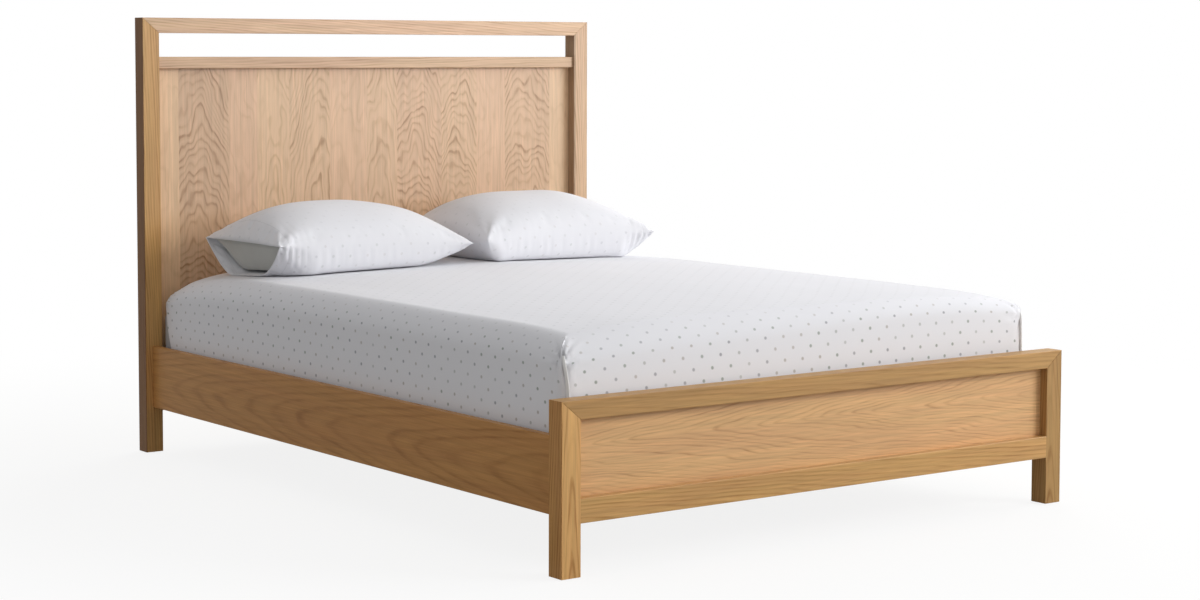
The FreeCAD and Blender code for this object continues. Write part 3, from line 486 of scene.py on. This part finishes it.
paintedShadeSides = {     # painted shade on a post's side to the left of a line: where it ends, in metres, and its tone
    "headboard_post_left": (-0.8185, (0.35, 0.28, 0.23)), "headboard_post_right": (0.7725, (0.6, 0.6, 0.6)),
    "footboard_post_left": (-0.8185, (0.74, 0.66, 0.60)),
}
for node, timber in frameWood.items():
    look = woodMaterial(f"lacqueredOak_{node}", *timber, outer=paintedShadeSides.get(node))
    easedPiece(node, look, easing["oak"])
paintNode("headboard_panel", veneerPanel("oakLeavesUpright"))
paintNode("footboard_panel", woodMaterial("oakVeneerLevel", levelVeneer, "X", 21,
                                          (0.6, -1.05, 0.30), -0.12, 0.9, 1.32, (40, 300, 50)))

slatNames = sorted(name for name in nodes if name.startswith("slat_") and name[5:].isdigit())
slatLooks = [woodMaterial(f"planedPine{seed}", pine, "X", 30 + seed, (0.2 * seed, 0.0, 0.10), 0.04)
             for seed in range(3)]
basePine = {
    **{name: slatLooks[count % 3] for count, name in enumerate(slatNames)},
    **dict.fromkeys(("slat_ledger_left", "slat_ledger_right", "centre_beam"),
                    woodMaterial("planedPineBatten", pine, "Y", 40, (0, 0.7, 0.1), 0.04)),
    **dict.fromkeys(("centre_leg_front", "centre_leg_middle", "centre_leg_rear"),
                    woodMaterial("planedPineLeg", pine, "Z", 41, (0, 0.05, 0.1), 0.04)),
}
for node, look in basePine.items():
    easedPiece(node, look, easing["pine"])

painted = [
    (woodMaterial("turnedBirch", birch, "Z", 50), ("mitre_keys", "leg_dowels")),
    (zinc, ("rail_hook_plates", "rail_catch_plates", "beam_hanger_head", "beam_hanger_foot",
            "leg_insert_nuts", "leveller_stem_front", "leveller_stem_middle", "leveller_stem_rear")),
    (screwZinc, ("hook_plate_screws", "catch_plate_screws", "ledger_screws", "slat_screws", "hanger_screws")),
    (nylon, ("leveller_pad_front", "leveller_pad_middle", "leveller_pad_rear")),
    (felt, ("post_glides",)),
]
for look, names in painted:
    for name in names:
        paintNode(name, look)
print("frame pieces made")


# mattress and fitted sheet

mattressLow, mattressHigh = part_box("mattress")
sheetLow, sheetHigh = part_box("fitted_sheet")

bedding = {
    "cell": 14, "crowd": 0.6,       # grid spacing, and how much finer it gets towards the sides
    "zone": 60, "square": 6,        # size of the rounded corners in plan, and how square they are
    "edge": 46, "leftEdge": 76,     # rounding of the top edge, which is softer along the left side
    "sideDrop": 17, "sidePower": 2.6,   # how far the top falls away towards its long sides
    "headDrop": (30, 270), "headDip": (30, 80), "footDrop": (12, 150),   # corners: fall and reach
    "pillowDip": (8, 300),          # how deep the pillows press in, and their reach
    "pillowSpots": (-0.32, 0.37), "pillowLine": 0.727, "dipShort": 1.3,     # where they press, in metres
    "footLean": 60, "rightLean": 0.15,  # lean of the foot end's upper part, and its share at the right
    "footSkew": 22, "footReach": 0.25,  # how far the foot end's right side stands back; metres that move
    "headGap": 2,                   # sheet's head end inside the mattress's
    "baseTall": 160, "basePast": 22,    # lower part of the mattress, which shows at the head
    "baseCell": 24, "baseEdge": 12, "lap": 30,      # its grid and rounding; how far the upper part dips into it
    "hemBack": 64,                  # how far the hem slants away from the head end
    "tuck": 60, "thick": 1.2,
    "ripple": 2.0, "waves": (((4.1, 3.2, 5.0), 1.0), ((13.0, 9.0, 11.0), 0.3)),     # slow and short ripples
    "gatherDeep": 7.0, "gatherReach": 0.05, "gatherClear": 0.012, "gatherEnd": 0.15,    # depth mm, rest metres
    "gathers": ((9, 0.6), (17, 0.4)),   # folds in a turn round the corner, and their share
    "seamWide": 10, "seamDeep": 7.0, "seamTall": 190, "seamTop": 36, "seamThick": 1.0,
}


def extrudeRim(bm, rim):   # an open edge's next row: its vertices and edges
    made = bmesh.ops.extrude_edge_only(bm, edges=rim)["geom"]
    kinds = (bmesh.types.BMVert, bmesh.types.BMEdge)
    return [[item for item in made if isinstance(item, kind)] for kind in kinds]


def slabGrid(low, high, cell, under):   # a box open below, of square cells, with an inward fold underneath
    bm = bmesh.new()
    size = high - low
    middle = (low + high) / 2
    counts = [max(2, round(size[axis] / (cell * mm))) for axis in range(3)]
    bmesh.ops.create_grid(bm, x_segments=counts[0], y_segments=counts[1], size=1.0)
    crowd = bedding["crowd"]
    for vert in bm.verts:
        for axis in (0, 1):
            share = vert.co[axis]
            share = (1 - crowd) * share + crowd * math.sin(share * math.pi / 2)
            vert.co[axis] = middle[axis] + share * size[axis] / 2
        vert.co.z = high.z
    rim = [edge for edge in bm.edges if edge.is_boundary]
    down = [(1 - crowd) * step / counts[2] + crowd * (1 - math.cos(step / counts[2] * math.pi / 2))
            for step in range(counts[2] + 1)]
    for above, below in zip(down, down[1:]):
        verts, rim = extrudeRim(bm, rim)
        bmesh.ops.translate(bm, vec=(0, 0, -size.z * (below - above)), verts=verts)
    for _ in range(round(under / cell)):
        verts, rim = extrudeRim(bm, rim)
        for vert in verts:
            for axis in (0, 1):
                vert.co[axis] -= (vert.co[axis] - middle[axis]) / (size[axis] / 2) * cell * mm
    return bm


def flatMap(bm, low, high):   # the sheet's own flat coordinates in metres, unfolded from the top
    layer = bm.loops.layers.uv.new("flat")
    for face in bm.faces:
        face.normal_update()
        facing = face.normal
        for loop in face.loops:
            x, y, z = loop.vert.co
            drop = high.z - z
            if abs(facing.x) > 0.5:
                x = (high.x + drop) if facing.x > 0 else (low.x - drop)
            elif abs(facing.y) > 0.5:
                y = (high.y + drop) if facing.y > 0 else (low.y - drop)
            loop[layer].uv = (x, y)


def roundedPlace(point, low, high, edge):   # a point of the box moved to its rounded form
    middle, half = (low + high) / 2, (high - low) / 2
    zone, power = bedding["zone"] * mm, bedding["square"]
    flat = Vector((point.x - middle.x, point.y - middle.y))
    past = Vector([max(0.0, abs(flat[axis]) - (half[axis] - zone)) / zone for axis in (0, 1)])
    most = max(past)
    outward = Vector((0, 0))
    if most > 0:
        length = (past.x ** power + past.y ** power) ** (1 / power)
        past *= most / length
        outward = Vector([math.copysign(past[axis] ** (power - 1), flat[axis]) for axis in (0, 1)]).normalized()
        for axis in (0, 1):
            if past[axis] > 0:
                flat[axis] = math.copysign(half[axis] - zone + zone * past[axis], flat[axis])
    inside = zone * (1 - most)
    below = high.z - point.z
    along = edge - inside + below
    z = point.z
    if 0 < along < 2 * edge:      # bends the top into the side on a quarter circle
        turn = along / (2 * edge) * math.pi / 2
        flat -= outward * (edge * (1 - math.sin(turn)) - inside)
        z = high.z - edge * (1 - math.cos(turn))
    return Vector((middle.x + flat.x, middle.y + flat.y, z))


def softEdge(x):   # the radius of the top edge at this place across the bed, in metres
    share = max(0.0, min(1.0, 0.5 - x / mattressHigh.x / 1.6))
    share *= share * (3 - 2 * share)
    return (bedding["edge"] + (bedding["leftEdge"] - bedding["edge"]) * share) * mm


def topFall(x, y):   # how far the top lies under its middle, drawn down at the sides and corners
    values = bedding
    halfX, halfY = mattressHigh.x, mattressHigh.y
    fall = values["sideDrop"] * mm * min(1.2, abs(x) / halfX) ** values["sidePower"]
    for cornerX in (-halfX, halfX):
        for cornerY, pulls in ((halfY, ("headDrop", "headDip")), (-halfY, ("footDrop",))):
            away = math.hypot(x - cornerX, y - cornerY) / mm
            for pull in pulls:
                drop, reach = values[pull]
                fall += drop * mm * math.exp(-(away / reach) ** 2)
    drop, reach = values["pillowDip"]
    for spot in values["pillowSpots"]:
        away = math.hypot(x - spot, (y - values["pillowLine"]) * values["dipShort"]) / mm
        fall += drop * mm * math.exp(-(away / reach) ** 2)
    return fall


def settle(place):   # lets the top sag and leans the foot end, by height above the mattress's underside
    height = max(0.0, (place.z - mattressLow.z) / (sheetHigh.z - mattressLow.z))
    place.z += height ** 2 * (2 * mm - topFall(place.x, place.y))
    foot = max(0.0, 1 - (place.y - mattressLow.y) / bedding["footReach"]) ** 2
    right = 0.5 + 0.5 * math.sin(max(-1.0, min(1.0, place.x / mattressHigh.x)) * math.pi / 2)
    lean = 1 - (1 - bedding["rightLean"]) * right
    place.y += foot * mm * (bedding["footLean"] * lean * max(0.0, height - 0.35) ** 1.5
                            + bedding["footSkew"] * right)
    return height


def shapeBedding(bm, low, high, ripple):   # rounds the box, lets its top sag and leans its foot end
    for vert in bm.verts:
        place = roundedPlace(vert.co, low, high, softEdge(vert.co.x))
        height = settle(place)
        wave = 0.0
        for (x, y, z), share in bedding["waves"]:
            wave += noise.noise(Vector((place.x * x, place.y * y, place.z * z))) * ripple * share * mm
        place.z += wave * height
        vert.co = place


def boxCorners(low, high):
    return [(x, y) for x in (low.x, high.x) for y in (low.y, high.y)]


def gatherCorners(bm, low, high):   # small folds that run out from the top of each sewn corner
    values = bedding
    (slow, slowShare), (fast, fastShare) = values["gathers"]
    for cornerX, cornerY in boxCorners(low, high):
        corner = roundedPlace(Vector((cornerX, cornerY, high.z - 0.05)), low, high, softEdge(cornerX))
        settle(corner)
        outward = Vector((math.copysign(0.6, cornerX), math.copysign(0.6, cornerY), 0.5))
        for vert in bm.verts:
            away = vert.co - corner
            if away.length > values["gatherEnd"]:
                continue
            turn = math.atan2(away.z, abs(away.x) - abs(away.y))
            fold = slowShare * math.sin(turn * slow + cornerX * 5)
            fold += fastShare * math.sin(turn * fast + cornerY * 3)
            fade = math.exp(-(away.length / values["gatherReach"]) ** 2)
            fade *= min(1.0, away.length / values["gatherClear"])
            vert.co += outward * fold * fade * values["gatherDeep"] * mm


def makeMattress():
    values = bedding
    baseTop = Vector((mattressHigh.x, mattressHigh.y + values["basePast"] * mm,
                      mattressLow.z + values["baseTall"] * mm))
    topLow = Vector((mattressLow.x + 5 * mm, mattressLow.y + 6 * mm, baseTop.z - values["lap"] * mm))
    topHigh = Vector((mattressHigh.x - 5 * mm, mattressHigh.y - 6 * mm, mattressHigh.z - 4 * mm))
    whole = bmesh.new()
    baseLow = mattressLow + Vector((4, 6, 0)) * mm
    baseTop.x -= 4 * mm
    for low, high, soft in ((baseLow, baseTop, False), (topLow, topHigh, True)):
        part = slabGrid(low, high, values["baseCell"], 0)
        bmesh.ops.holes_fill(part, edges=[edge for edge in part.edges if edge.is_boundary], sides=0)
        if soft:
            shapeBedding(part, low, high, 0)
        else:
            for vert in part.verts:
                vert.co = roundedPlace(vert.co, low, high, values["baseEdge"] * mm)
                top = vert.co.z
                settle(vert.co)
                vert.co.z = top
        bmesh.ops.recalc_face_normals(part, faces=part.faces)
        mesh = bpy.data.meshes.new("mattressPart")
        part.to_mesh(mesh)
        part.free()
        whole.from_mesh(mesh)
        bpy.data.meshes.remove(mesh)
    piece = finishPiece("mattress_block", whole, knit, "mattress", ["mattress"], True)


def thicken(piece, thick, offset=-1):   # cloth has a thickness, in mm
    wall = piece.modifiers.new("cloth", "SOLIDIFY")
    wall.thickness = thick * mm
    wall.offset = offset


def cornerSeams(low, high):   # the sewn ridge down each corner, folded onto the end of the bed
    values = bedding
    bm = bmesh.new()
    for cornerX, cornerY in boxCorners(low, high):
        inward = -1 if cornerX > 0 else 1
        for vert in bmesh.ops.create_grid(bm, x_segments=8, y_segments=26, size=0.5)["verts"]:
            side, level = vert.co.x + 0.5, vert.co.y + 0.5
            z = high.z - (values["seamTop"] + values["seamTall"] * (1 - level)) * mm
            box = Vector((cornerX + inward * (side + 0.1) * values["seamWide"] * mm, cornerY, z))
            place = roundedPlace(box, low, high, softEdge(box.x))
            settle(place)
            bulge = math.sin(math.pi * side) ** 0.7 * values["seamDeep"] * mm * (1 - 0.5 * level ** 6)
            place.y += math.copysign(bulge + 0.3 * mm, cornerY)
            place.x -= inward * 0.8 * mm * math.sin(level * 9)
            vert.co = place
    bmesh.ops.recalc_face_normals(bm, faces=bm.faces)
    seams = finishPiece("sheet_seams", bm, seamCotton, "mattress", smooth=True)
    thicken(seams, values["seamThick"], 0)
    return seams


def makeSheet():
    values = bedding
    low = Vector((sheetLow.x, sheetLow.y, mattressLow.z - 1 * mm))
    high = Vector((sheetHigh.x, mattressHigh.y - values["headGap"] * mm, sheetHigh.z))
    bm = slabGrid(low, high, values["cell"], values["tuck"])
    flatMap(bm, low, high)
    shapeBedding(bm, low, high, values["ripple"])
    gatherCorners(bm, low, high)
    cutHeadHem(bm, high)
    bmesh.ops.recalc_face_normals(bm, faces=bm.faces)
    if sum(face.normal.z for face in bm.faces) < 0:
        bmesh.ops.reverse_faces(bm, faces=bm.faces)
    piece = finishPiece("sheet_cloth", bm, sheetCotton, "mattress", ["fitted_sheet"], True)
    thicken(piece, values["thick"])
    cornerSeams(low, high)


def cutHeadHem(bm, high):   # the elastic hem slants up over the mattress's lower part at the head end
    values = bedding
    top = mattressLow.z + values["baseTall"] * mm
    slope = values["hemBack"] * mm / (values["baseTall"] * mm)
    for normal, spot in (((0, 0, 1), (0, 0, top)), ((0, 1, -slope), (0, high.y, top))):
        area = [item for kind in (bm.verts, bm.edges, bm.faces) for item in kind]
        bmesh.ops.bisect_plane(bm, geom=area, plane_co=spot, plane_no=normal, dist=0.01 * mm)
    middles = {face: face.calc_center_median() for face in bm.faces}
    gone = [face for face, middle in middles.items()
            if middle.z < top and middle.y > high.y - (top - middle.z) * slope]
    bmesh.ops.delete(bm, geom=gone, context="FACES")


makeMattress()
makeSheet()
print("mattress and sheet made")


# pillows

pillows = {
    # outline of the case in mm; height of its seam at the left, middle and right; height of the dome over it,
    # where it is highest and how it bends down to the left, the right and the long sides; how wide the
    # rounding is in front, at the mouth and at the closed end; how far the front stands proud and the
    # mouth's lower lip lies back
    "left": {
        "x": (-657, 12), "y": (500, 952), "seam": (646, 634, 626), "mouthSide": -1, "seed": 3.0,
        "rise": 120, "peak": -0.12,
        "leftBend": (2.6, 0.57), "rightBend": (1.95, 0.49), "sideBend": (1.6, 0.64),
        "lean": 0.0, "frontWide": 0.13, "mouthWide": 0.8, "endWide": 0.63, "pull": (14, 8), "proud": 8,
        "mouthBack": 20},
    "right": {
        "x": (50, 694), "y": (501, 952), "seam": (629, 632, 634), "mouthSide": 1, "seed": 8.0,
        "rise": 124, "peak": -0.1, "leftBend": (2.4, 0.34), "rightBend": (3.2, 0.78), "sideBend": (1.8, 0.42),
        "lean": 0.15, "frontWide": 0.13, "mouthWide": 0.8, "endWide": 0.22, "pull": (14, 10), "proud": 6,
        "mouthBack": 0},
}
filling = {
    "cell": 7, "crowd": 0.45, "gap": 2.5,       # grid spacing, finer to the edges, and clearance over the sheet
    "insertInside": 18, "insertGap": 7,         # the filled pillow inside its case
    "pucker": 2.2, "cornerFold": 3.0, "gather": 5.0, "broad": 4.0,      # depth of the folds in mm
    "fade": 24, "cornerReach": 100, "cornerClear": 40,      # how far the seam's folds and the corners' run in
    "gatherPitch": 21, "gatherAt": 50, "gatherWide": 40,    # gathers beside the mouth, from its lip
    "swell": 5, "thick": 1.4,       # most that air pressure moves the case, and its cloth
}
swelling = {       # air pressure in mild, thin cloth that the seams draw in a little
    "quality": 6, "mass": 0.15, "tension_stiffness": 25, "compression_stiffness": 8,
    "bending_stiffness": 0.4, "shrink_min": -0.015, "vertex_group_mass": "held",
    "use_pressure": True, "uniform_pressure_force": 3.0,
}
swellFrames = 18


def restLevel(x, y):   # height of the sheet that the pillow lies on, in mm
    return (sheetHigh.z + 2 * mm - topFall(x * mm, y * mm)) / mm + filling["gap"]


def crowded(share):   # moves a grid's lines closer together towards its ends
    return (1 - filling["crowd"]) * share + filling["crowd"] * math.sin(share * math.pi / 2)


def pillowGrid(values, cell):   # two layers, one above the other, spanning -1 to 1 each way
    bm = bmesh.new()
    long, wide = (values[axis][1] - values[axis][0] for axis in ("x", "y"))
    for level in (1, -1):
        made = bmesh.ops.create_grid(bm, x_segments=round(long / cell), y_segments=round(wide / cell),
                                     size=1.0)["verts"]
        for vert in made:
            vert.co = (crowded(vert.co.x), crowded(vert.co.y), level)
        if level < 0:
            bmesh.ops.reverse_faces(bm, faces=list({face for vert in made for face in vert.link_faces}))
    return bm


def bent(share, bend):   # 1 in the middle and 0 at the ends
    return max(0.0, 1 - abs(share) ** bend[0]) ** bend[1]


def eased(share):   # a quarter of a sine wave, from 0 to 1
    return math.sin(min(1.0, share) * math.pi / 2)


def wavy(x, y, z):
    return noise.noise(Vector((x, y, z)))


def pillowPlace(values, s, t, level, closed):   # a point of the pillow, from its flat place and layer
    x0, x1 = values["x"]
    y0, y1 = values["y"]
    inset = filling["insertGap"] if closed else 0
    side = values["mouthSide"]
    middleX, halfX = (x0 + x1) / 2, (x1 - x0) / 2
    middleY, halfY = (y0 + y1) / 2, (y1 - y0) / 2 - inset
    if closed:      # the filled pillow is a little smaller and ends inside its case
        middleX -= side * (filling["insertInside"] - inset) / 2
        halfX -= (filling["insertInside"] + inset) / 2
    pullLong, pullEnd = values["pull"]
    x = middleX + s * (halfX - pullEnd * (1 - t * t) * abs(s) ** 3)
    y = middleY + t * (halfY - pullLong * (1 - s * s) * abs(t) ** 3)
    u = (middleX + s * halfX - (x0 + x1) / 2) / ((x1 - x0) / 2)
    left, centre, right = values["seam"]
    seam = centre + ((left if u < 0 else right) - centre) * u * u
    if level > 0:
        peak = values["peak"]
        over = bent((u - peak) / (1 - peak), values["rightBend"]) if u > peak else \
            bent((u - peak) / (1 + peak), values["leftBend"])
        over *= values["rise"] * bent(t - values["lean"] * (1 - t * t), values["sideBend"])
        if closed:
            over = max(0.0, over - inset) * eased((1 - abs(s)) / 0.12)
        return Vector((x, y, seam + over)) * mm
    floor = restLevel(x, y) + inset * 0.6
    mouth = max(0.0, (u * side - 0.62) / 0.38) ** 1.5
    wide = values["frontWide"] + (values["mouthWide"] - values["frontWide"]) * mouth
    front = min(1.0, (1 + t) / wide)
    end = eased((1 + u * side) / values["endWide"]) ** 0.8
    if closed:
        end *= eased((1 - abs(s)) / 0.15) ** 0.8
        floor += inset * 0.8
    drop = eased(front) * eased((1 - t) / 0.55) * end
    x -= side * values["mouthBack"] * mouth * drop
    y -= values["proud"] * math.sin(math.pi * front) * end * (1 - mouth) * (0.3 if closed else 1.0)
    return Vector((x, y, seam - max(0.0, seam - floor) * drop)) * mm


def puckers(values, s, t, level):   # folds that the seams and the mouth draw into the cloth, in mm
    halfX, halfY = ((values[axis][1] - values[axis][0]) / 2 for axis in ("x", "y"))
    edge, end = (1 - abs(t)) * halfY, (1 - abs(s)) * halfX
    seed, run = values["seed"], s * halfX
    short = wavy(run / 15, seed, level * 4.0)
    short += 0.5 * wavy(run / 7, seed + 4, level)
    fold = filling["pucker"] * short * math.exp(-edge / filling["fade"])
    if s * values["mouthSide"] < 0:      # the sewn end
        across = wavy(seed, t * halfY / 15, level * 6.0)
        fold += filling["pucker"] * across * math.exp(-end / filling["fade"])
    reach = math.hypot(edge, end)
    turn = math.atan2(edge, end)
    fold += filling["cornerFold"] * math.sin(turn * 8 + seed + level + 0.8 * short) * \
        math.exp(-(reach / filling["cornerReach"]) ** 2) * min(1.0, reach / filling["cornerClear"])
    fromMouth = (1 - s * values["mouthSide"]) * halfX
    if t < 0:       # gathers beside the front corner of the mouth
        wave = math.sin((fromMouth + 5 * short) / filling["gatherPitch"] * 2 * math.pi)
        near = math.exp(-((fromMouth - filling["gatherAt"]) / filling["gatherWide"]) ** 2)
        fold += filling["gather"] * wave * near * math.exp(-edge / filling["gatherWide"]) * \
            (1.0 if level < 0 else 0.35)
    broad = wavy(run / 170, t * halfY / 130 + seed, level * 3.0)
    fold += filling["broad"] * broad * bent(s, (2, 0.6)) * bent(t, (2, 0.6))
    return fold * min(1.0, edge / 7) * min(1.0, end / 7)


def clothMap(bm, values, grid):   # flat coordinates measured along the cloth, so that its print stays even
    layer = bm.loops.layers.uv.new("flat")
    flat = {}
    for axis, other in ((0, 1), (1, 0)):
        rows = {}
        for vert, spot in grid.items():
            rows.setdefault((spot[other], spot[2]), []).append((spot[axis], vert))
        for (_, level), row in rows.items():
            row.sort(key=lambda item: item[0])
            run = 0.0
            for (_, before), (_, vert) in zip([row[0]] + row, row):
                run += (vert.co - before.co).length
                flat.setdefault(vert, [0, 0])[axis] = run * (level if axis else 1)
    for face in bm.faces:
        for loop in face.loops:
            run, rise = flat[loop.vert]
            loop[layer].uv = (run + values["seed"], rise)


def shapePillow(name, closed):
    values = pillows[name]
    bm = pillowGrid(values, filling["cell"])
    lip = bm.verts.layers.float.new("lip")
    folds = None if closed else bm.verts.layers.float_vector.new("folds")
    long = values["x"][1] - values["x"][0]
    rim, grid = [], {}
    for vert in bm.verts:
        s, t, level = grid[vert] = tuple(round(value, 5) for value in vert.co)
        vert[lip] = (1 - s * values["mouthSide"]) * long / 2 * mm
        onMouth = not closed and s * values["mouthSide"] > 0.999 and abs(t) < 0.999
        if vert.is_boundary and not onMouth:
            rim.append(vert)
        place = pillowPlace(values, s, t, level, closed)
        free = level > 0 or place.z / mm > restLevel(place.x / mm, place.y / mm) + 6
        if free and not closed:
            fold = puckers(values, s, t, level) * mm
            if level < 0 and t < 0:
                vert[folds] = (0, -fold, 0)
            else:
                vert[folds] = (0, 0, fold * (1 if level > 0 else -0.5))
        vert.co = place
    clothMap(bm, values, grid)
    bmesh.ops.remove_doubles(bm, verts=rim, dist=1.2 * mm)
    bmesh.ops.recalc_face_normals(bm, faces=bm.faces)
    return bm


def swellCloth(piece, rim):   # a short cloth simulation lets air pressure and the seams wrinkle the case
    start = [vert.co.copy() for vert in piece.data.vertices]
    group = piece.vertex_groups.new(name="held")
    group.add(rim, 1.0, "REPLACE")
    cloth = piece.modifiers.new("swell", "CLOTH")
    for name, setting in swelling.items():
        setattr(cloth.settings, name, setting)
    cloth.settings.effector_weights.gravity = 0
    cloth.point_cache.frame_start, cloth.point_cache.frame_end = 1, swellFrames
    scene = bpy.context.scene
    for step in range(1, swellFrames + 1):
        scene.frame_set(step)
    moved = piece.evaluated_get(bpy.context.evaluated_depsgraph_get()).to_mesh()
    most = filling["swell"] * mm
    places = []
    for vert, old in zip(moved.vertices, start):
        shift = vert.co - old
        if shift.length > most:
            shift *= most / shift.length
        place = old + shift
        place.z = max(place.z, min(old.z, restLevel(place.x / mm, place.y / mm) * mm))
        places.append(place)
    piece.modifiers.remove(cloth)
    piece.vertex_groups.remove(group)
    scene.frame_set(1)
    for vert, place in zip(piece.data.vertices, places):
        vert.co = place


def makeCase(name):
    bm = shapePillow(name, False)
    rim = [vert.index for vert in bm.verts if vert.is_boundary]
    piece = finishPiece(f"pillowcase_{name}_cloth", bm, caseCotton, f"pillow_{name}",
                        [f"pillowcase_{name}"], True)
    swellCloth(piece, rim)
    folds = piece.data.attributes["folds"]
    for vert, fold in zip(piece.data.vertices, folds.data):
        vert.co += fold.vector
    piece.data.attributes.remove(folds)
    thicken(piece, filling["thick"])


def makeInsert(name):
    piece = finishPiece(f"pillow_{name}_fill", shapePillow(name, True), ticking, f"pillow_{name}",
                        [f"pillow_{name}"], True)


for name in pillows:
    makeInsert(name)
    makeCase(name)
print("pillows made")


# floor, light and camera

studio = {
    "floor": "f6f6f4", "floorBounce": "b5b4b2",     # as seen, and as it lights the bed from below
    "floorSize": 30.0, "floorGlow": 0.86, "clearFrom": 1.2, "clearTo": 3.5,     # white from 3.5 m out
    "ambient": 0.50,
    "aim": (0.1, 0.1, 0.6),
    "lamps": {     # place, size, watts
        "key": ((4.6, -5.4, 3.0), (3.4, 2.6), 272),
        "side": ((8.0, -1.0, 3.4), (4.5, 3.5), 292),
        "back": ((5.0, 4.5, 4.5), (3.5, 3.5), 171)},
    "sheen": ((5.4, -6.5, 2.2), (0.0, 1.0, 1.0), (5.0, 1.8), 1500),     # the same and its aim; only in gloss
}


def seenDirectly(tree):   # 1 for the camera's view, also in gloss or through glass, and 0 for soft light
    path = addNode(tree, "LightPath").outputs
    rays = [path[f"Is {kind} Ray"] for kind in ("Camera", "Glossy", "Transmission")]
    return maths(tree, rays[0], ("MAXIMUM", rays[1]), ("MAXIMUM", rays[2]))


def makeFloor():   # smooth matt paint that fades into the backdrop
    material, tree = startMaterial("paleFloor")
    seen = seenDirectly(tree)
    paint = addNode(tree, "BsdfDiffuse", {
        "Color": blend(tree, seen, studio["floorBounce"], studio["floor"])})
    glow = addNode(tree, "Emission", {"Color": (1, 1, 1, 1), "Strength": 1.0})
    away = vectors(tree, objectPlace(tree), ("LENGTH",))
    clear = addNode(tree, "MapRange", (away, studio["clearFrom"], studio["clearTo"], studio["floorGlow"], 1.0),
                    interpolation_type="SMOOTHSTEP")
    share = maths(tree, clear, ("MULTIPLY", seen))
    addNode(tree, "OutputMaterial", {"Surface": addNode(tree, "MixShader", (share, paint, glow))})
    bm = bmesh.new()
    bmesh.ops.create_grid(bm, x_segments=1, y_segments=1, size=studio["floorSize"])
    meshObject("studio_floor", bm, material)


def makeWorld():   # soft even light, seen as plain white
    world = bpy.data.worlds.new("studio")
    bpy.context.scene.world = world
    world.use_nodes = True
    tree = world.node_tree
    tree.nodes.clear()
    strength = addNode(tree, "MapRange", (seenDirectly(tree), 0.0, 1.0, studio["ambient"], 1.0))
    back = addNode(tree, "Background", {"Color": (1, 1, 1, 1), "Strength": strength})
    addNode(tree, "OutputWorld", {"Surface": back})


def areaLight(name, place, aim, size, power):
    data = bpy.data.lights.new(name, "AREA")
    data.shape = "RECTANGLE"
    data.size, data.size_y = size
    data.energy = power
    lamp = linkObject(name, data)
    lamp.location = place
    lamp.rotation_euler = (Vector(aim) - Vector(place)).to_track_quat("-Z", "Y").to_euler()
    lamp.visible_camera = False
    return lamp


view = {
    "lens": 70.404, "shiftX": 0.0653, "shiftY": -0.07,
    "place": (-3.9080, -5.3108, 1.1801), "pitch": 3.85, "yaw": 35.126,
}


def makeCamera():
    data = bpy.data.cameras.new("camera")
    data.lens = view["lens"]
    data.sensor_width = 36
    data.shift_x, data.shift_y = view["shiftX"], view["shiftY"]
    camera = linkObject("camera", data)
    camera.location = view["place"]
    camera.rotation_euler = (math.radians(90 - view["pitch"]), 0, -math.radians(view["yaw"]))
    bpy.context.scene.camera = camera


makeFloor()
makeWorld()
for name, (place, size, power) in studio["lamps"].items():
    areaLight(name, place, studio["aim"], size, power).visible_glossy = False
areaLight("sheen", *studio["sheen"]).visible_diffuse = False
makeCamera()
bpy.context.scene.view_settings.view_transform = "Standard"
print("studio made")
